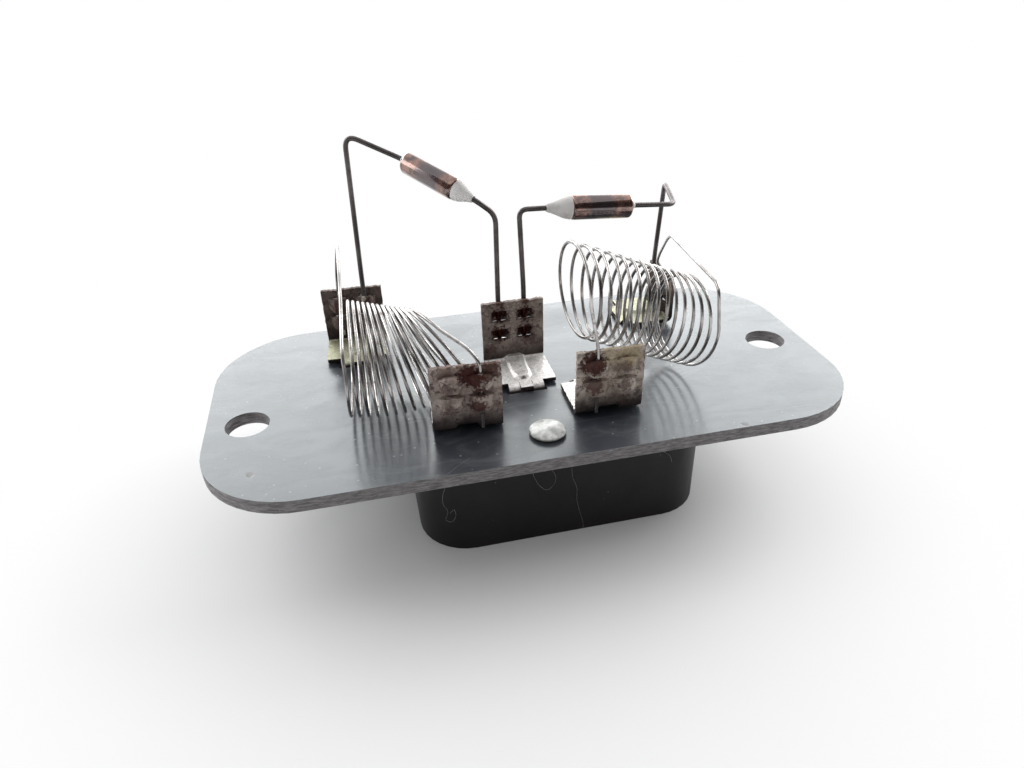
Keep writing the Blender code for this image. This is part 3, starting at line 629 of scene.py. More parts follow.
def turned_tree():
    """Piece turned on a lathe from a chain of (radius, 0, height), copied to every place."""
    inputs = {"Sides": "Int", "Places": "Object", "Material": "Material"}
    tree = Tree("turned piece", inputs)
    profile = tree.given("Geometry")
    rows = tree.node("GeometryNodeAttributeDomainSize", {"component": "MESH"}, {"Geometry": profile})
    sides = tree.given("Sides")
    sockets = {"Vertices X": sides + 1, "Vertices Y": rows}
    grid = tree.node("GeometryNodeMeshGrid", None, sockets)
    index = tree.node("GeometryNodeInputIndex")
    column = (index / rows).math("FLOOR", index / rows)
    settings = {"data_type": "FLOAT_VECTOR"}
    here = tree.node("GeometryNodeInputPosition")
    sockets = {"Geometry": profile, "Value": here, "Index": index - column * rows}
    point = tree.parts(tree.node("GeometryNodeSampleIndex", settings, sockets))
    angle = column * (2 * math.pi) / sides
    spun = {"X": point[0] * angle.math("COSINE", angle), "Y": point[0] * angle.math("SINE", angle)}
    spun = tree.node("ShaderNodeCombineXYZ", None, {**spun, "Z": point[2]})
    turned = tree.node("GeometryNodeSetPosition", None, {"Geometry": grid, "Position": spun})
    sockets = {"Geometry": turned, "Distance": 1e-6}
    turned = tree.node("GeometryNodeMergeByDistance", None, sockets)
    height = tree.parts(tree.node("GeometryNodeInputPosition"))[2]
    settings = {"data_type": "FLOAT", "domain": "POINT"}
    sockets = {"Geometry": turned, "Name": "along", "Value": height}
    turned = tree.node("GeometryNodeStoreNamedAttribute", settings, sockets)
    places = tree.node(
        "GeometryNodeObjectInfo", None, {"Object": tree.given("Places")}, output="Geometry"
    )
    aim = tree.node(
        "GeometryNodeInputNamedAttribute", {"data_type": "FLOAT_VECTOR"}, {"Name": "aim"}
    )
    heading = tree.node("FunctionNodeAlignRotationToVector", {"axis": "Z"}, {"Vector": aim})
    sockets = {"Points": places, "Instance": turned, "Rotation": heading}
    return tree.finish(tree.node("GeometryNodeInstanceOnPoints", None, sockets))


def lathe(tree, profile, places, material, sides=48, closed=False):
    """Turn a profile of (height, radius) and copy it to places of (middle, direction)."""
    data = bpy.data.meshes.new("places")
    data.from_pydata([Vector(middle) * 0.001 for middle, _ in places], [], [])
    aims = data.attributes.new("aim", "FLOAT_VECTOR", "POINT")
    for number, (_, direction) in enumerate(places):
        aims.data[number].vector = Vector(direction).normalized()
    marks = placed("places", data)
    points = [(radius, 0.0, height) for height, radius in profile]
    if closed:
        points.append(points[0])
    values = {"Sides": sides, "Places": marks, "Material": material}
    made = outward(grown(points, chain_edges(points), tree, values))
    bpy.data.objects.remove(marks, do_unlink=True)
    made.shade_smooth()
    made.set_sharp_from_angle(angle=math.radians(38))
    return made


# Paths of the wires

def rounded_path(points, radius, steps=9):
    """Replace each inner corner of a polyline with a short curve."""
    points = [Vector(point) for point in points]
    path = [points[0]]
    for before, corner, after in zip(points, points[1:], points[2:]):
        reach = min(radius, (corner - before).length * 0.45, (after - corner).length * 0.45)
        start = corner + (before - corner).normalized() * reach
        end = corner + (after - corner).normalized() * reach
        for step in range(steps + 1):
            t = step / steps
            path.append(start * (1 - t) ** 2 + corner * 2 * t * (1 - t) + end * t * t)
    path.append(points[-1])
    return path


def tail_place(terminal):
    turn = Matrix.Rotation(math.radians(terminal.heading), 4, "Z")
    return Matrix.Translation((*terminal.tail, 0.0)) @ turn


def upright_place(terminal):
    return tail_place(terminal) @ Matrix.Translation((0.0, terminal.foot, 0.0))


def grip_point(terminal, column, height, diameter):
    out = terminal.side * (SHEET / 2 + GRIP_SEAT + diameter / 2)
    return upright_place(terminal) @ Vector((column * GRIP_COLUMN, out, PLATE_TOP + height))


def grip_top(terminal, column, diameter):
    return grip_point(terminal, column, terminal.height, diameter)


def gripped_end(terminal, column, diameter, over, foot_gap):
    return [
        grip_point(terminal, column, terminal.height + over, diameter),
        grip_point(terminal, column, foot_gap, diameter),
    ]


def offsets_from(anchor, steps):
    return [anchor + Vector(step) for step in steps]


def coil_shape(coil):
    """Vectors of the coil tree in metres, and the middle of its first and last point."""
    front = grip_top(coil.front, coil.column, COIL_WIRE)
    rear = grip_top(coil.rear, coil.rear_column, COIL_WIRE)
    first = front + Vector(coil.start)
    last = rear + Vector(coil.end)
    middles = (first, (first + last) / 2 + Vector(coil.sag), last)
    vectors = [*middles, *coil.reach, *coil.rise]
    return {label: Vector(vector) * 0.001 for label, vector in zip(COIL_VECTORS, vectors)}


def coil_point(shape, turn):
    """Where the wire is after so many turns, by the same rule as the tree, in millimetres."""
    share = turn / COIL_TURNS
    weights = ((1 - share) * (1 - 2 * share), 4 * share * (1 - share), share * (2 * share - 1))
    angle = 2 * math.pi * turn
    place = Vector()
    for part, swing in (("Middle", 1), ("Reach", math.cos(angle)), ("Rise", math.sin(angle))):
        for number, weight in enumerate(weights, 1):
            place += shape[f"{part} {number}"] * (weight * swing)
    return place * 1000


def smooth_path(points, steps=6):
    """Smooth curve through a few given points."""
    knots = [Vector(point) for point in points]
    knots = [knots[0] * 2 - knots[1], *knots, knots[-1] * 2 - knots[-2]]
    path = []
    for before, start, end, after in zip(knots, knots[1:], knots[2:], knots[3:]):
        for step in range(steps):
            t = step / steps
            path.append(
                (2 * start + (end - before) * t + (2 * before - 5 * start + 4 * end - after) * t ** 2
                 + (3 * start - before - 3 * end + after) * t ** 3) / 2
            )
    return [*path, knots[-2]]


# Turned profiles of the cut-offs and rivets, as (height, radius)

def case_profile(radius):
    profile = [(0, 0), *((height, radius - inset) for height, inset in CASE_FOOT)]
    profile += [(CASE_LENGTH - below, radius - inset) for below, inset in CASE_SHOULDER]
    return [*profile, (CASE_LENGTH, 0)]


def seal_profile(length, wide, tip, steps=12):
    """Cone of resin that thins towards its tip in a slight hollow."""
    profile = [(0, LEAD_BORE), (0, wide - SEAL_LIP)]
    for step in range(steps + 1):
        share = step / steps
        radius = tip + (wide - tip) * (1 - share) ** SEAL_CURVE
        radius += SEAL_HOLLOW * math.sin(2 * math.pi * share)
        profile.append((SEAL_LIP + (length - SEAL_LIP - 0.1) * share, radius))
    return [*profile, (length, tip - 0.1), (length, LEAD_BORE)]


def rivet_profile(tail):
    """Rivet from its hollow tail to its domed head."""
    head = PLATE_TOP + SEAT
    profile = [(tail + up, radius) for up, radius in RIVET_TAIL]
    profile += [(head + up, radius) for up, radius in RIVET_BRIM]
    for step in range(RIVET_STEPS):
        angle = math.pi / 2 * step / RIVET_STEPS
        height = head + RIVET_RIM + RIVET_DOME * math.sin(angle)
        profile.append((height, RIVET_RADIUS * math.cos(angle)))
    return [*profile, (head + RIVET_RIM + RIVET_DOME, 0)]


# Folded sheet terminals

Row = namedtuple("Row", "line band y z normal_y normal_z amount raised", defaults=(0.0, 1.0))


def arc(centre, start, turn, band):
    """Rows round a bend of the middle line; the normal stays on the same side of the sheet."""
    rows = []
    out = math.copysign(1, -turn)
    for step in range(BEND_STEPS + 1):
        angle = math.radians(start + turn * step / BEND_STEPS)
        y = centre[0] + BEND * math.cos(angle)
        z = centre[1] + BEND * math.sin(angle)
        rows.append(Row("flat", band, y, z, out * math.cos(angle), out * math.sin(angle)))
    return rows


def strip_rows(middle):
    """Rows of one pair of lanced strips, from the slit above them to the slit below."""
    half = STRIP_HEIGHT / 2
    rows = [Row("flat", "slit", 0.0, middle + half + STRIP_SLIT, 1, 0)]
    for step in range(STRIP_ROWS + 1):
        share = 1 - 2 * step / STRIP_ROWS
        band = "slit" if step == STRIP_ROWS else "strip"
        rows.append(Row("strip", band, 0.0, middle + share * half, 1, 0, share))
    return [*rows, Row("flat", "bar", 0.0, middle - half - STRIP_SLIT, 1, 0)]


def dart_rows(terminal):
    """Rows from the dart's upper end, round the bend and along the foot to its lower end.

    The amount of each row is half of the dart's width there; both ends are rounded, and the
    upper one fades into the upright.
    """
    end = -terminal.foot + BEND + SHOULDER + DART_GAP
    rows = []
    for share in (1, 0.75, 0.5, 0.25):
        rows.append(Row("dart", "bar", 0.0, FOOT_Z + BEND + DART_RISE * share, 1, 0))
    rows += [row._replace(line="dart") for row in arc((-BEND, FOOT_Z + BEND), 0, -90, "bar")]
    count = round((-BEND - end) / COLUMN_STEP)
    for step in range(1, count + 1):
        rows.append(Row("dart", "bar", -BEND + (end + BEND) * step / count, FOOT_Z, 0, -1))
    runs = [0.0]
    for before, row in zip(rows, rows[1:]):
        runs.append(runs[-1] + math.hypot(row.y - before.y, row.z - before.z))
    shaped = []
    for run, row in zip(runs, rows):
        widest = DART_WIDTH + (DART_CREST - DART_WIDTH) * run / runs[-1]
        inward = 1 - min(run, runs[-1] - run, DART_ROUND) / DART_ROUND
        half = widest / 2 * math.sqrt(1 - inward * inward)
        shaped.append(row._replace(amount=half, raised=smooth_step(run / DART_FADE)))
    return shaped


def sheet_rows(terminal):
    """Rows of the folded sheet from its top edge to the end of its tail.

    Each row has the kind of its own line, the kind of the band below it, its place (y, z)
    and the normal (y, z) of the side that faces away from the foot on the upright.
    """
    length = terminal.foot
    top = PLATE_TOP + terminal.height
    rows = [Row("edge", "bar", 0.0, top, 1, 0), Row("flat", "bar", 0.0, top - 0.5, 1, 0)]
    first = top - FIRST_GRIP
    for middle in (first, first - GRIP_SPACING):
        rows += strip_rows(middle)
    rows += dart_rows(terminal)
    rows.append(Row("flat", "lance", -length + BEND + SHOULDER, FOOT_Z, 0, -1))
    rows += arc((-length + BEND, FOOT_Z - BEND), 90, 90, "lance")
    if terminal.clinched:
        fold = PLATE_BOTTOM - SEAT - SHEET / 2
        rows[-1] = rows[-1]._replace(band="blade")
        rows += arc((-length + BEND, fold + BEND), 180, 90, "blade")
        rows.append(Row("flat", "blade", -length + CLINCH_LENGTH, fold, 0, 1))
    else:
        rows.append(Row("flat", "blade", -length, FOOT_Z - BEND - TONGUE_LENGTH, 1, 0))
        rows.append(Row("flat", "blade", -length, BLADE_TIP + BLADE_TAPER, 1, 0))
        rows.append(Row("tip", "blade", -length, BLADE_TIP, 1, 0))
    return rows


def sheet_columns():
    """Sideways places of every edge in the sheet, with even steps between them, mirrored."""
    half = UPRIGHT_WIDTH / 2
    tongue = TONGUE_WIDTH / 2
    edges = {0.0, half, BLADE_WIDTH / 2, tongue, tongue + TONGUE_SLIT}
    edges |= {GRIP_COLUMN - GRIP_WIDTH / 2, GRIP_COLUMN + GRIP_WIDTH / 2}
    count = round(half / COLUMN_STEP)
    for step in range(count):
        x = half * step / count
        if all(abs(x - edge) > COLUMN_STEP / 3 for edge in edges):
            edges.add(x)
    return sorted({-x for x in edges} | edges)


def has_metal(band, x):
    """Whether a band of the sheet has metal at this distance from its middle."""
    if band == "slit":
        return abs(x - GRIP_COLUMN) > GRIP_WIDTH / 2
    if band == "lance":
        return TONGUE_WIDTH / 2 + TONGUE_SLIT < x < BLADE_WIDTH / 2
    if band == "blade":
        return x < BLADE_WIDTH / 2
    return True


def smooth_step(share):
    share = max(0.0, min(1.0, share))
    return share * share * (3 - 2 * share)


def strip_share(away):
    """How far a lanced strip has risen, from 0 to 1, at this distance from its middle."""
    return smooth_step((GRIP_WIDTH / 2 - abs(away)) / STRIP_RUN)


def sheet_point(x, row, lift):
    """Middle-surface point and half-thickness vector at one crossing of the grid."""
    half = SHEET / 2
    y, z = row.y, row.z
    offset = Vector((0.0, row.normal_y * half, row.normal_z * half))
    away = abs(x) - GRIP_COLUMN
    if row.line == "strip" and abs(away) < GRIP_WIDTH / 2 - 1e-6:
        share = strip_share(away)
        y += lift * share * (1 - STRIP_ARCH * row.amount ** 2)
        z += STRIP_SPREAD * row.amount * share * share
        slope = lift * (strip_share(away + 0.01) - strip_share(away - 0.01)) / 0.02
        offset.x = -STRIP_LEAN * slope * math.copysign(half, x)
    if row.line == "dart":
        bulge = DART_HEIGHT * row.raised * smooth_step((row.amount - abs(x)) / DART_SIDE)
        y -= bulge * row.normal_y
        z -= bulge * row.normal_z
    if row.line == "tip":
        x *= TIP_NARROWING
        offset *= TIP_THINNING
    return Vector((x, y, z)), offset


def close_sheet(middle, offsets):
    """Give a middle surface its thickness: two skins and a wall along every free edge."""
    solid = bmesh.new()
    skins = {}
    for vert in middle.verts:
        point, offset = vert.co, offsets[vert]
        skins[vert] = (solid.verts.new(point + offset), solid.verts.new(point - offset))
    for face in middle.faces:
        solid.faces.new([skins[vert][0] for vert in face.verts])
        solid.faces.new([skins[vert][1] for vert in reversed(face.verts)])
        for loop in face.loops:
            if len(loop.edge.link_faces) == 1:
                start = skins[loop.vert]
                end = skins[loop.link_loop_next.vert]
                solid.faces.new([end[0], start[0], start[1], end[1]])
    middle.free()
    return solid


def folded_sheet(terminal, rounding, dent):
    """Mesh of one folded terminal with ragged sheared edges and slightly uneven faces."""
    lift = terminal.side * (SHEET + GRIP_SEAT + terminal.wire)
    columns = sheet_columns()
    rows = sheet_rows(terminal)
    seed = Vector((terminal.heading, terminal.foot, terminal.height))
    middle = bmesh.new()
    offsets = {}
    knots = {}

    def knot(column, row):
        if (column, row) not in knots:
            point, offset = sheet_point(columns[column], rows[row], lift)
            if rows[row].line == "edge":
                along = Vector((point.x, 0.0, 0.0))
                point.z += TOP_RAGGED * sum(noise.noise(along * wave + seed) for wave in TOP_WAVES)
            if column in (0, len(columns) - 1):
                along = Vector((0.0, point.y, point.z))
                point.x += SIDE_RAGGED * noise.noise(along * SIDE_WAVE + seed)
            knots[column, row] = middle.verts.new(point)
            offsets[knots[column, row]] = offset
        return knots[column, row]

    for row in range(len(rows) - 1):
        for column in range(len(columns) - 1):
            if has_metal(rows[row].band, abs(columns[column] + columns[column + 1]) / 2):
                corners = [(column, row), (column + 1, row), (column + 1, row + 1), (column, row + 1)]
                middle.faces.new([knot(*corner) for corner in corners])
    root = next(index for index, row in enumerate(rows) if row.band == "lance")
    inside = [index for index, x in enumerate(columns) if abs(x) <= TONGUE_WIDTH / 2 + 1e-6]
    rings = [{column: knot(column, root) for column in inside}]
    for share in (0.5, 1.0):
        ring = {}
        for column in inside:
            y = rows[root].y - TONGUE_LENGTH * share
            ring[column] = middle.verts.new((columns[column], y, FOOT_Z - TONGUE_DROP * share))
            offsets[ring[column]] = offsets[knot(column, root)]
        rings.append(ring)
    for near, far in zip(rings, rings[1:]):
        for column, after in zip(inside, inside[1:]):
            middle.faces.new([near[column], near[after], far[after], far[column]])
    solid = close_sheet(middle, offsets)
    bmesh.ops.recalc_face_normals(solid, faces=solid.faces)
    for vert in solid.verts:
        if vert.co.z > FOOT_Z + DENT_START:
            vert.co.y += dent * noise.noise(vert.co * DENT_WAVE + seed)
    place = Matrix.Scale(0.001, 4) @ upright_place(terminal)
    bmesh.ops.transform(solid, matrix=place, verts=solid.verts)
    data = bpy.data.meshes.new(terminal.name)
    solid.to_mesh(data)
    solid.free()
    return rounded(data, rounding)


def rounded(data, width, segments=2, angle=40, smooth=36):
    """Round the sharp edges of a mesh and shade it smooth across small angles."""
    item = placed("rounding", data)
    bevel = item.modifiers.new("edges", "BEVEL")
    bevel.width = width
    bevel.segments = segments
    bevel.limit_method = "ANGLE"
    bevel.angle_limit = math.radians(angle)
    bevel.use_clamp_overlap = True
    bpy.context.view_layer.update()
    made = plain_mesh(item)
    made.shade_smooth()
    made.set_sharp_from_angle(angle=math.radians(smooth))
    return made


def merged_copy(node):
    """Mesh of a CAD node with its loose triangles joined."""
    bm = bmesh.new()
    bm.from_mesh(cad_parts[node].data)
    bmesh.ops.remove_doubles(bm, verts=bm.verts, dist=2e-6)
    bmesh.ops.recalc_face_normals(bm, faces=bm.faces)
    data = bpy.data.meshes.new(node)
    bm.to_mesh(data)
    bm.free()
    return data


# Finishes

def laminate_finish(settings):
    """Glossy dark laminate with smudges, hair scratches and a rough fibrous edge."""
    face = Surface(
        "laminate", IOR=1.75, Specular_Tint=(0.92, 0.99, 1.0), Coat_IOR=1.68,
        Coat_Roughness=0.19, Coat_Tint=(0.95, 0.99, 1.0),
    )
    upright = face.parts(face.node("ShaderNodeNewGeometry", output="Normal"))[2]
    edge = abs(upright).rise(0.9, 0.55)
    cloud = face.noise(45.0, 4.0, 0.6, distortion=0.4)
    smear = face.noise(14.0, 6.0, 0.62, face.stretched((1.0, 2.6, 1.0), 24))
    lines = face.noise(160.0, 2.0, 0.5, face.stretched((0.10, 5.0, 1.0), -8))
    across = face.noise(150.0, 2.0, 0.5, face.stretched((0.14, 6.0, 1.0), 62))
    scratch = lines.rise(0.68, 0.75).high(across.rise(0.70, 0.77)) * face.noise(30.0).rise(0.42, 0.62)
    dust = face.specks(900.0, 0.16).high(face.specks(2300.0, 0.14) * cloud.rise(0.4, 0.7))
    first, second = (face.near(place, radius, 0.8, 1600.0) for place, radius in CHIPS)
    chips = first.high(second)
    colour = face.mix(cloud.rise(0.3, 0.75), settings.plate_dark, settings.plate_light)
    film = face.noise(110.0, 6.0, 0.68, face.stretched((1.0, 2.2, 1.0), 24), 0.8)
    colour = face.mix(smear.rise(0.45, 0.8) * 0.5, colour, SMEAR)
    colour = face.mix(film.rise(0.46, 0.66) * 0.55, colour, FILM)
    colour = face.mix(scratch * 0.5, colour, SCRATCH)
    colour = face.mix(dust * 0.55, colour, DUST)
    layers = face.noise(1500.0, 4.0, 0.7, face.stretched((0.35, 0.35, 2.4)))
    grit = face.noise(900.0, 5.0, 0.7)
    cut = face.mix(layers.rise(0.35, 0.7), settings.edge_dark, settings.edge_light)
    cut = face.mix(grit.rise(0.62, 0.75), cut, CUT_GRIT)
    colour = face.mix(edge.high(chips), colour, cut)
    rough = 0.22 + smear.rise(0.35, 0.8) * 0.10 + film * 0.14 + scratch * 0.2 + dust * 0.3
    rough = rough * (1 - edge) + edge * 0.75
    relief = face.bump(cloud + film * 0.35 + dust * 0.03 - chips * 0.3, 0.0006, 0.14)
    ragged = face.bump((grit + layers) * edge, 0.00035, 0.9, relief)
    gloss = (1 - edge.high(chips)) * (0.85 - film.rise(0.4, 0.7) * 0.35)
    return face.finish(Base_Color=colour, Roughness=rough, Normal=ragged, Coat_Weight=gloss)


def plastic_finish(settings):
    """Black moulded plastic with a fine grain and faint streaks."""
    shell = Surface("black_plastic", IOR=1.5, Specular_IOR_Level=0.3)
    grain = shell.noise(2600.0, 3.0, 0.6)
    cloud = shell.noise(90.0, 4.0, 0.6)
    streak = shell.noise(260.0, 3.0, 0.5, shell.stretched((1.0, 1.0, 0.25)))
    dust = shell.specks(1500.0, 0.015)
    colour = shell.mix(cloud.rise(0.35, 0.75), settings.housing_dark, settings.housing_light)
    colour = shell.mix(dust * 0.35, colour, HOUSING_DUST)
    rough = 0.36 + cloud * 0.16 + streak.rise(0.5, 0.7) * 0.08
    return shell.finish(
        Base_Color=colour, Roughness=rough, Normal=shell.bump(grain + cloud * 0.6, 0.00006, 0.35)
    )


def rivet_finish(settings):
    """Dull aluminium with pitting and a grey ring of dirt round the head."""
    metal = Surface("aluminium")
    pits = metal.noise(1900.0, 5.0, 0.7)
    cloud = metal.noise(420.0, 4.0, 0.6)
    low = metal.parts(metal.here)[2] * 1000.0 + (cloud - 0.5) * 0.3
    rim = low.rise(PLATE_TOP + 0.75, PLATE_TOP + 0.42)
    colour = metal.mix(cloud.rise(0.35, 0.7), settings.rivet_dark, settings.rivet_light)
    colour = metal.mix(rim * 0.75, colour, RIVET_DIRT)
    dent = metal.bump(pits + cloud * 2.0, 0.00016, 0.8)
    return metal.finish(
        Base_Color=colour, Metallic=0.85 - rim * 0.4, Roughness=0.46 + pits * 0.2, Normal=dent
    )


def tin_finish(terminal, look):
    """Tinned sheet gone brown and burnt about the wires, with painted glints by a few grips and
    painted shade low on the upright; the upper side of its foot is bright, partly its own tin and
    partly painted light.
    """
    tin = Surface(terminal.name.replace("terminal", "tin"), Specular_IOR_Level=0.2)
    height = tin.parts(tin.here)[2] * 1000.0 - PLATE_TOP
    up = tin.parts(tin.node("ShaderNodeNewGeometry", output="Normal"))[2]
    mottle = tin.noise(420.0, 6.0, 0.7)
    blotch = tin.noise(850.0, 5.0, 0.7, distortion=0.5)
    grain = tin.noise(2600.0, 4.0, 0.7)
    drift = tin.noise(120.0, 3.0, 0.5)
    # The foot's bright tin, only on faces that point up: partly the foot's own cleaner tin, partly
    # painted light from above, so the outer bend keeps the upright's darker tone.
    foot = up.rise(0.2, 0.65) * (height + (mottle - 0.5) * 1.6).rise(3.2, 2.2)
    colour = tin.mix(mottle.rise(0.36, 0.64), look.dark, look.light)
    colour = tin.mix(drift.rise(0.45, 0.75) * 0.45, colour, look.rust)
    colour = tin.mix(blotch.rise(0.53, 0.62) * 0.7, colour, TIN_SPOT)
    colour = tin.mix(grain.rise(0.60, 0.68) * 0.25, colour, TIN_GRAIN)
    # Painted shade and dark reflection: darker towards the plate, with a ragged edge.
    colour = tin.mix((height + blotch * 2.0).rise(6.6, 2.2) * 0.88, colour, PAINTED_SHADE)
    bright = tin.mix(grain.rise(0.38, 0.62), look.foot_dark, look.foot_light)
    bright = tin.mix(blotch.rise(0.56, 0.66) * 0.45, bright, FOOT_SPOT)
    colour = tin.mix(foot, colour, bright)
    across = upright_place(terminal).to_3x3() @ Vector((0.0, 1.0, 0.0))
    flat = tuple(1.0 - 0.85 * abs(value) for value in across)
    burnt = None
    # Stains and painted glints; the glints are painted highlights and don't count as burnt.
    for burn_or_glint in look.burns:
        place = grip_point(terminal, burn_or_glint.column, terminal.height - burn_or_glint.down, 0.0)
        patch = tin.near(place, burn_or_glint.radius, 1.0, 1900.0, flat) * burn_or_glint.strength
        dark, light = burn_or_glint.tones
        colour = tin.mix(patch, colour, tin.mix(grain.rise(0.4, 0.7), dark, light))
        if burn_or_glint.tones is not PAINTED_GLINT:
            burnt = patch if burnt is None else burnt.high(patch)
    metallic = (0.25 + foot * 0.40) * (1 - burnt * 0.9)
    rough = (0.54 - foot * 0.14 + grain * 0.16) + burnt * 0.12
    relief = tin.bump(grain + blotch * 1.5 + mottle * 1.5 + burnt, 0.00012, 0.8)
    return tin.finish(Base_Color=colour, Metallic=metallic, Roughness=rough, Normal=relief)


def wire_finish(name, dark, light, stain, rough, scorched=()):
    """Drawn wire, tarnished in patches along its length and scorched in a few places."""
    metal = Surface(name)
    along = metal.node("ShaderNodeAttribute", {"attribute_name": "along"}, output="Fac")
    chain = metal.node("ShaderNodeCombineXYZ", None, {"X": along})
    drift = metal.noise(90.0, 3.0, 0.6, chain)
    patch = metal.noise(520.0, 4.0, 0.65)
    grain = metal.noise(3200.0, 3.0, 0.6)
    colour = metal.mix(drift.rise(0.35, 0.68), dark, light)
    colour = metal.mix(patch.rise(0.54, 0.72) * 0.7, colour, stain)
    for place in scorched:
        burnt = metal.near(place, 2.0, 0.5)
        colour = metal.mix(burnt, colour, metal.mix(grain.rise(0.4, 0.7), *SCORCH))
    finish = rough + patch * 0.12 + grain * 0.04
    relief = metal.bump(grain + patch, 0.00004, 0.15)
    metallic = 0.92 - patch.rise(0.54, 0.72) * 0.3
    return metal.finish(Base_Color=colour, Metallic=metallic, Roughness=finish, Normal=relief)


def case_finish(settings):
    """Lacquered metal case, copper at both ends and stained dark round its middle."""
    case = Surface("cutoff_case", Coat_Roughness=0.10, Coat_IOR=1.9)
    along = case.node("ShaderNodeAttribute", {"attribute_name": "along"}, output="Fac") * 1000.0
    cloud = case.noise(300.0, 4.0, 0.6, distortion=0.6)
    worn = case.noise(620.0, 5.0, 0.7)
    grain = case.noise(2600.0, 3.0, 0.6)
    shifted = along + (cloud - 0.5) * 3.5
    middle = shifted.rise(3.6, 4.8) * shifted.rise(9.2, 8.0)
    colour = case.mix(worn.rise(0.40, 0.62), settings.case_light, settings.case_dark)
    colour = case.mix(middle * 0.9, colour, settings.case_stain)
    colour = case.mix(worn.rise(0.60, 0.66) * 0.6, colour, CASE_SPOT)
    colour = case.mix(grain.rise(0.68, 0.78) * 0.4, colour, CASE_GRAIN)
    relief = case.bump(worn * 1.2 + grain * 0.5, 0.00003, 0.3)
    return case.finish(
        Base_Color=colour, Metallic=0.9, Roughness=0.16 + worn * 0.16, Coat_Weight=0.95,
        Normal=relief,
    )


def resin_finish(settings):
    """Pale sealing resin, stained a little in clouds."""
    resin = Surface("seal_resin", IOR=1.5)
    cloud = resin.noise(500.0, 4.0, 0.6)
    grain = resin.noise(2800.0, 3.0, 0.6)
    colour = resin.mix(cloud.rise(0.4, 0.8), settings.resin_light, settings.resin_dark)
    relief = resin.bump(grain * 0.3 + cloud * 2.0, 0.00004, 0.3)
    return resin.finish(Base_Color=colour, Roughness=0.5 + grain * 0.15, Normal=relief)


def lint_finish(settings):
    fibre = Surface("lint", IOR=1.45)
    tone = fibre.mix(fibre.noise(700.0, 3.0), settings.lint_dark, settings.lint_light)
    return fibre.finish(Base_Color=tone, Roughness=0.8)


# Settings

def size(name, description, default, low=0.0):
    return FloatProperty(
        name=name, description=description, default=default, min=low, unit="LENGTH", precision=5
    )


def colour(name, description, default):
    return FloatVectorProperty(
        name=name, description=description, default=default, subtype="COLOR", size=3, min=0, max=1
    )


class PlateSettings(bpy.types.PropertyGroup):
    edge: size("Edge rounding", "Rounding of the plate's cut edges", 0.00012)
    plate_dark: colour("Dark laminate", "Darkest tone of the glossy face", (0.014, 0.016, 0.024))
    plate_light: colour("Light laminate", "Lightest tone of the glossy face", (0.036, 0.040, 0.056))
    edge_dark: colour("Dark cut edge", "Dark layers of the sawn edge", (0.13, 0.118, 0.12))
    edge_light: colour("Light cut edge", "Pale layers of the sawn edge", (0.38, 0.355, 0.365))
    housing_edge: size("Housing rounding", "Rounding of the housing's edges", 0.00035)
    housing_dark: colour("Dark plastic", "Darkest tone of the housing", (0.005, 0.0035, 0.005))
    housing_light: colour("Light plastic", "Lightest tone of the housing", (0.011, 0.008, 0.010))
    rivet_dark: colour("Dark aluminium", "Darkest tone of the rivets", (0.38, 0.39, 0.38))
    rivet_light: colour("Light aluminium", "Lightest tone of the rivets", (0.82, 0.83, 0.81))
    sides: IntProperty(name="Sides", description="Facets round turned pieces", default=64, min=12)


class TerminalSettings(bpy.types.PropertyGroup):
    rounding: size("Edge rounding", "Rounding of the sheet's sheared edges", 0.00009)
    dent: FloatProperty(
        name="Unevenness", description="Waviness of the uprights in millimetres", default=0.10, min=0
    )


class WireSettings(bpy.types.PropertyGroup):
    coil_wire: size("Coil wire", "Diameter of the resistance wire", COIL_WIRE / 1000)
    lead_wire: size("Lead wire", "Diameter of the cut-off leads", LEAD_WIRE / 1000)
    steps: IntProperty(name="Steps", description="Points on each turn", default=56, min=8)
    sides: IntProperty(name="Sides", description="Facets round the wire", default=10, min=5)
    coil_dark: colour("Dark coil", "Tarnished resistance wire", (0.165, 0.155, 0.150))
    coil_light: colour("Light coil", "Clean resistance wire", (0.68, 0.66, 0.645))
    lead_dark: colour("Dark lead", "Oxidised lead", (0.075, 0.066, 0.066))
    lead_light: colour("Light lead", "Worn lead", (0.17, 0.155, 0.155))


class CutoffSettings(bpy.types.PropertyGroup):
    tip: size("Seal tip", "Diameter of the narrow end of the resin seals", 0.0013)
    case_dark: colour("Dark case", "Dark lacquer of the cases", (0.085, 0.042, 0.036))
    case_light: colour("Light case", "Light lacquer of the cases", (0.30, 0.155, 0.115))
    case_stain: colour("Stained case", "Stain round the middle of the cases", (0.062, 0.042, 0.049))
    resin_dark: colour("Dark resin", "Stained resin", (0.56, 0.52, 0.49))
    resin_light: colour("Light resin", "Clean resin", (0.86, 0.84, 0.825))


class LintSettings(bpy.types.PropertyGroup):
    fibre: size("Fibre", "Diameter of one fibre of lint", 0.00003)
    lint_dark: colour("Dark lint", "Darkest tone of the lint", (0.22, 0.21, 0.21))
    lint_light: colour("Light lint", "Lightest tone of the lint", (0.55, 0.54, 0.54))


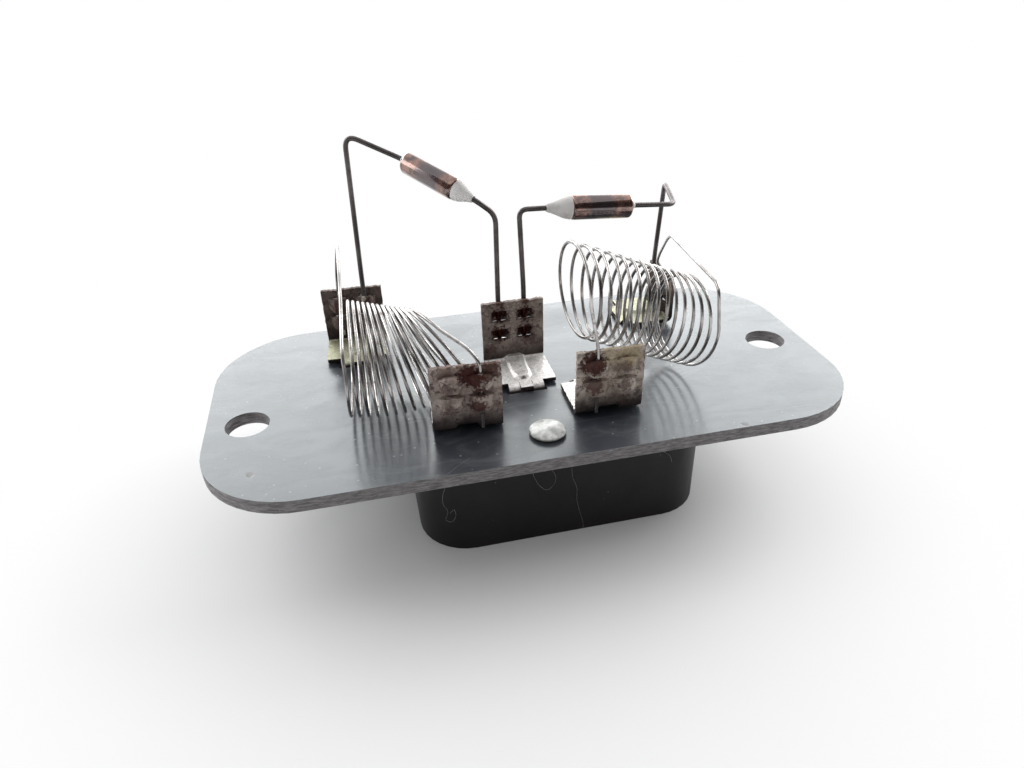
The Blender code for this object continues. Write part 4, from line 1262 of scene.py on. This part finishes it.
class StudioSettings(bpy.types.PropertyGroup):
    floor: colour("Floor", "Pale floor and backdrop", (0.86, 0.86, 0.865))
    place: FloatVectorProperty(
        name="Camera place", description="Camera position in the model's frame",
        default=(-0.02670, -0.11365, 0.08570), size=3, unit="LENGTH",
    )
    pitch: FloatProperty(
        name="Pitch", description="How far the camera looks down", default=math.radians(31.40),
        subtype="ANGLE", unit="ROTATION",
    )
    yaw: FloatProperty(
        name="Yaw", description="How far the camera turns right", default=math.radians(12.17),
        subtype="ANGLE", unit="ROTATION",
    )
    roll: FloatProperty(
        name="Roll", description="Tilt of the camera", default=math.radians(1.72),
        subtype="ANGLE", unit="ROTATION",
    )
    lens: FloatProperty(
        name="Lens", description="Focal length for a sensor 36 mm wide", default=26.016,
        unit="CAMERA",
    )
    # Painted light: the floor's emitted white starts close by the object and clears the outer part of
    # its shadow.
    fade_start: size("Fade start", "Distance at which the floor starts to fade to white", 0.025)
    fade_end: size("Fade end", "Distance at which the floor is white", 0.098)
    # Painted light: a share of emitted white over the whole floor, which lifts the object's shadow.
    fill: FloatProperty(
        name="Floor fill", description="Share of white in the floor near the model", default=0.03,
        min=0, max=1, subtype="FACTOR",
    )
    power: FloatProperty(
        name="Power", description="Scale of all the soft lights", default=1.0, min=0
    )
    ambient: FloatProperty(
        name="Ambient", description="Strength of the world", default=0.32, min=0
    )


# Operators

class RESISTOR_OT_plate(bpy.types.Operator):
    """Mounting plate with its rough sawn edge"""

    bl_idname = "resistor.plate"
    bl_label = "Mounting plate"

    def execute(self, context):
        settings = context.scene.resistor_plate
        data = rounded(merged_copy("mounting_plate"), settings.edge, smooth=15)
        data.materials.clear()
        data.materials.append(laminate_finish(settings))
        add_piece("laminate_plate", data, "laminate", "mounting_plate")
        return {"FINISHED"}


class RESISTOR_OT_housing(bpy.types.Operator):
    """Moulded connector housing under the plate"""

    bl_idname = "resistor.housing"
    bl_label = "Connector housing"

    def execute(self, context):
        settings = context.scene.resistor_plate
        data = rounded(merged_copy("connector_housing"), settings.housing_edge, 3, smooth=15)
        data.materials.clear()
        data.materials.append(plastic_finish(settings))
        add_piece("moulded_housing", data, "black_plastic", "connector_housing")
        return {"FINISHED"}


class RESISTOR_OT_rivets(bpy.types.Operator):
    """Two domed rivets, turned once and set in both places"""

    bl_idname = "resistor.rivets"
    bl_label = "Rivets"

    def execute(self, context):
        settings = context.scene.resistor_plate
        profile = rivet_profile(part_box("front_rivet")[0].z * 1000)
        places = []
        for node in ("front_rivet", "rear_rivet"):
            low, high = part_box(node)
            middle = (low + high) * 500
            places.append(((middle.x, middle.y, 0.0), (0, 0, 1)))
        data = lathe(turned_tree(), profile, places, rivet_finish(settings), settings.sides)
        add_piece("domed_rivets", data, "aluminium", "front_rivet", "rear_rivet")
        return {"FINISHED"}


class RESISTOR_OT_terminals(bpy.types.Operator):
    """Five folded terminals with lanced strips, a stiffening dart and a tongue"""

    bl_idname = "resistor.terminals"
    bl_label = "Folded terminals"

    def execute(self, context):
        settings = context.scene.resistor_terminals
        for terminal, look in LOOKS.items():
            data = folded_sheet(terminal, settings.rounding, settings.dent)
            data.materials.append(tin_finish(terminal, look))
            name = terminal.name.replace("terminal", "folded_sheet")
            add_piece(name, data, "tinned_sheet", terminal.name)
        return {"FINISHED"}


class RESISTOR_OT_coils(bpy.types.Operator):
    """Both resistance coils, each one continuous wire from grip to grip"""

    bl_idname = "resistor.coils"
    bl_label = "Resistance coils"

    def execute(self, context):
        settings = context.scene.resistor_wires
        tree = coil_tree()
        dark, light = settings.coil_dark, settings.coil_light
        finish = wire_finish("resistance_wire", dark, light, COIL_STAIN, 0.15)
        for name, (coil, ends) in COILS.items():
            shape = coil_shape(coil)
            front = grip_top(coil.front, coil.column, COIL_WIRE)
            rear = grip_top(coil.rear, coil.rear_column, COIL_WIRE)
            first = coil_point(shape, coil.first_turn)
            last = coil_point(shape, COIL_TURNS)
            before = gripped_end(coil.front, coil.column, COIL_WIRE, ends.over, FRONT_GAP)[::-1]
            before = [*before, *offsets_from(front, ends.entry), first]
            before = rounded_path(before, ends.entry_bend)
            after = gripped_end(coil.rear, coil.rear_column, COIL_WIRE, ends.rear_over, ends.gap)
            after = [last, *offsets_from(rear, ends.leave), *after]
            after = rounded_path(after, ends.exit_bend)
            count = round((COIL_TURNS - coil.first_turn) * settings.steps) + 1
            points = [*before[:-1], *[first] * count, *after[1:]]
            values = {label: vector[:] for label, vector in shape.items()}
            values.update({"First point": len(before) - 1, "Steps": settings.steps})
            values.update({"First turn": coil.first_turn, "Turns": float(COIL_TURNS)})
            values.update({"Diameter": settings.coil_wire, "Sides": settings.sides})
            data = grown(points, chain_edges(points), tree, {**values, "Material": finish})
            add_piece(f"{name}_coil_wire", outward(data), "resistance_wire", f"{name}_coil")
        return {"FINISHED"}


class RESISTOR_OT_cutoffs(bpy.types.Operator):
    """Both thermal cut-offs with case, resin seal, collar and two leads"""

    bl_idname = "resistor.cutoffs"
    bl_label = "Thermal cut-offs"

    def execute(self, context):
        settings = context.scene.resistor_cutoffs
        wires = context.scene.resistor_wires
        turned = turned_tree()
        drawn = wire_tree()
        case_look = case_finish(settings)
        resin = resin_finish(settings)
        grips = [
            grip_point(CENTRE, column, CENTRE.height - down, LEAD_WIRE)
            for column, down in CENTRE_GRIPS
        ]
        dark, light = wires.lead_dark, wires.lead_light
        lead = wire_finish("lead_wire", dark, light, LEAD_STAIN, 0.36, grips)
        for cutoff in CUTOFFS:
            radius = cutoff.diameter / 2
            outer = grip_top(cutoff.outer, cutoff.column, LEAD_WIRE)
            inner = grip_top(CENTRE, cutoff.inner, LEAD_WIRE)
            middle = (outer + inner) / 2 + Vector(cutoff.place)
            aim = Vector(cutoff.aim).normalized()
            start = middle - aim * CASE_LENGTH / 2
            seal_end = middle + aim * (CASE_LENGTH / 2 + SEAL_SEAT)
            case_end = start - aim * SEAL_SEAT
            seal = seal_profile(cutoff.seal, radius - SEAL_INSET, settings.tip * 500)
            pieces = {
                "case": (case_profile(radius), start, aim, case_look, "cutoff_case", False),
                "seal": (seal, seal_end, aim, resin, "seal_resin", True),
                "collar": (COLLAR, case_end, -aim, resin, "seal_resin", True),
            }
            for part, (profile, place, direction, look, slot, ring) in pieces.items():
                data = lathe(turned, profile, [(place, direction)], look, 48, ring)
                name = f"{cutoff.name}_{part}"
                add_piece(f"{name}_turned", data, slot, name)
            case_clear = case_end - aim * (COLLAR_LENGTH + LEAD_RUN)
            seal_clear = seal_end + aim * (cutoff.seal + LEAD_RUN)
            case_path = [case_end, case_clear, *offsets_from(outer, cutoff.case_route)]
            case_path += gripped_end(cutoff.outer, cutoff.column, LEAD_WIRE, LEAD_OVER, LEAD_GAP)
            seal_path = [seal_end, seal_clear, *offsets_from(inner, cutoff.seal_route)]
            seal_path += gripped_end(CENTRE, cutoff.inner, LEAD_WIRE, LEAD_OVER, LEAD_GAP)
            leads = {
                "case_lead": (case_path, cutoff.case_bend),
                "seal_lead": (seal_path, cutoff.seal_bend),
            }
            for part, (path, bend) in leads.items():
                points = rounded_path(path, bend)
                values = {"Diameter": wires.lead_wire, "Sides": 16, "Material": lead}
                data = outward(grown(points, chain_edges(points), drawn, values))
                name = f"{cutoff.name}_{part}"
                add_piece(f"{name}_wire", data, "lead_wire", name)
        return {"FINISHED"}


class RESISTOR_OT_lint(bpy.types.Operator):
    """Fine fibres of lint that cling to the housing's front and lie on the plate"""

    bl_idname = "resistor.lint"
    bl_label = "Lint"

    def execute(self, context):
        settings = context.scene.resistor_lint
        points = []
        edges = []
        for fibre in LINT:
            path = smooth_path(fibre)
            edges += [(len(points) + start, len(points) + end) for start, end in chain_edges(path)]
            points += path
        values = {"Diameter": settings.fibre, "Sides": 5, "Material": lint_finish(settings)}
        add_piece("lint_fibres", outward(grown(points, edges, wire_tree(), values)), "seal_resin")
        return {"FINISHED"}


class RESISTOR_OT_stage(bpy.types.Operator):
    """Pale floor, soft lights, a dark card for reflections, world and the camera of the photograph"""

    bl_idname = "resistor.stage"
    bl_label = "Stage"

    def execute(self, context):
        settings = context.scene.resistor_studio
        stage_floor(settings)
        for name, (power, extent, place) in LIGHTS.items():
            soft_light(name, power * settings.power, extent, place)
        reflected_card()
        world = bpy.data.worlds.new("studio")
        world.use_nodes = True
        sky = Graph(world.node_tree)
        background = world.node_tree.nodes["Background"]
        seen = sky.seen_directly()
        sky.feed(background.inputs["Strength"], settings.ambient + seen * (1 - settings.ambient))
        sky.feed(background.inputs["Color"], WHITE)
        context.scene.world = world
        context.scene.view_settings.view_transform = "Standard"
        aim_camera(context.scene, settings)
        return {"FINISHED"}


def stage_floor(settings):
    """Pale floor that fades into the white surroundings away from the object. The emitted white
    starts close by, so it is painted light that clears the outer part of the object's shadow.
    """
    data = bpy.data.meshes.new("studio_floor")
    signs = ((-1, -1), (1, -1), (1, 1), (-1, 1))
    corners = [(x * FLOOR_REACH, y * FLOOR_REACH, 0.0) for x, y in signs]
    data.from_pydata(corners, [], [(0, 1, 2, 3)])
    floor = Surface("floor", IOR=1.4)
    cloud = floor.noise(9.0, 3.0)
    pale = floor.mix(cloud * 0.2, settings.floor, FLOOR_CLOUD)
    floor.finish(Base_Color=pale, Roughness=0.6)
    seen = floor.seen_directly()
    white = floor.node("ShaderNodeEmission", None, {"Color": WHITE, "Strength": 1.0})
    away = floor.vector("DISTANCE", floor.here, FADE_MIDDLE, output="Value")
    # Painted light: emitted white that grows away from the shadow's core, plus a small share
    # everywhere.
    share = (away.rise(settings.fade_start, settings.fade_end) + settings.fill).low(1.0) * seen
    painted = Value(floor, floor.shader.outputs[0])
    data.materials.append(floor.blend(share, painted, white))
    placed("studio_floor", data)


def reflected_card():
    """Dark curved card behind the camera, which only reflections see."""
    away, low, high, spread, panels = 0.5, 0.03, 0.55, 80, 16
    bm = bmesh.new()
    rows = []
    for panel in range(panels + 1):
        angle = math.radians(spread * (2 * panel / panels - 1))
        x, y = away * math.sin(angle), -away * math.cos(angle)
        rows.append((bm.verts.new((x, y, low)), bm.verts.new((x, y, high))))
    for near, far in zip(rows, rows[1:]):
        bm.faces.new((near[0], far[0], far[1], near[1]))
    data = bpy.data.meshes.new("studio_card")
    bm.to_mesh(data)
    bm.free()
    card = Surface("card")
    clear = card.node("ShaderNodeBsdfTransparent")
    dark = card.node("ShaderNodeEmission", None, {"Color": CARD_TONE, "Strength": 1.0})
    glossy = card.node("ShaderNodeLightPath", output="Is Glossy Ray")
    data.materials.append(card.blend(glossy, clear, dark))
    placed("studio_card", data)


def soft_light(name, power, extent, place):
    data = bpy.data.lights.new(name, "AREA")
    data.shape = "RECTANGLE"
    data.size, data.size_y = extent
    data.energy = power
    item = placed(name, data)
    item.location = place
    aim = Vector(LIGHT_TARGET) - Vector(place)
    item.rotation_euler = aim.to_track_quat("-Z", "Y").to_euler()


def aim_camera(scene, settings):
    """Camera with the pitch, yaw and roll of the photograph."""
    data = bpy.data.cameras.new("camera")
    data.sensor_fit = "HORIZONTAL"
    data.sensor_width = 36.0
    data.lens = settings.lens
    data.clip_start = 0.005
    pitch, yaw, roll = settings.pitch, settings.yaw, settings.roll
    forward = Vector(
        (math.sin(yaw) * math.cos(pitch), math.cos(yaw) * math.cos(pitch), -math.sin(pitch))
    )
    level = Vector((math.cos(yaw), -math.sin(yaw), 0.0))
    down = forward.cross(level)
    right = level * math.cos(roll) + down * math.sin(roll)
    down = down * math.cos(roll) - level * math.sin(roll)
    matrix = Matrix((right, -down, -forward)).transposed().to_4x4()
    matrix.translation = Vector(settings.place)
    item = placed("camera", data)
    item.matrix_world = matrix
    scene.camera = item


OPERATORS = (
    RESISTOR_OT_plate,
    RESISTOR_OT_housing,
    RESISTOR_OT_rivets,
    RESISTOR_OT_terminals,
    RESISTOR_OT_coils,
    RESISTOR_OT_cutoffs,
    RESISTOR_OT_lint,
    RESISTOR_OT_stage,
)
SETTINGS = {
    "resistor_plate": PlateSettings,
    "resistor_terminals": TerminalSettings,
    "resistor_wires": WireSettings,
    "resistor_cutoffs": CutoffSettings,
    "resistor_lint": LintSettings,
    "resistor_studio": StudioSettings,
}


class RESISTOR_PT_panel(bpy.types.Panel):
    """Sidebar panel with every step and its settings"""

    bl_idname = "RESISTOR_PT_panel"
    bl_label = "Blower motor resistor"
    bl_space_type = "VIEW_3D"
    bl_region_type = "UI"
    bl_category = "Resistor"

    def draw(self, context):
        for operator in OPERATORS:
            self.layout.operator(operator.bl_idname)
        for name, group in SETTINGS.items():
            box = self.layout.box()
            for setting in group.__annotations__:
                box.prop(getattr(context.scene, name), setting)


def register():
    for group in SETTINGS.values():
        bpy.utils.register_class(group)
    for name, group in SETTINGS.items():
        setattr(bpy.types.Scene, name, PointerProperty(type=group))
    for entry in (*OPERATORS, RESISTOR_PT_panel):
        bpy.utils.register_class(entry)


def unregister():
    for entry in reversed((*OPERATORS, RESISTOR_PT_panel)):
        bpy.utils.unregister_class(entry)
    for name, group in SETTINGS.items():
        delattr(bpy.types.Scene, name)
        bpy.utils.unregister_class(group)


def main():
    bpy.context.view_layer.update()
    register()
    for operator in OPERATORS:
        group, name = operator.bl_idname.split(".")
        getattr(getattr(bpy.ops, group), name)()


if __name__ == "__main__":
    main()
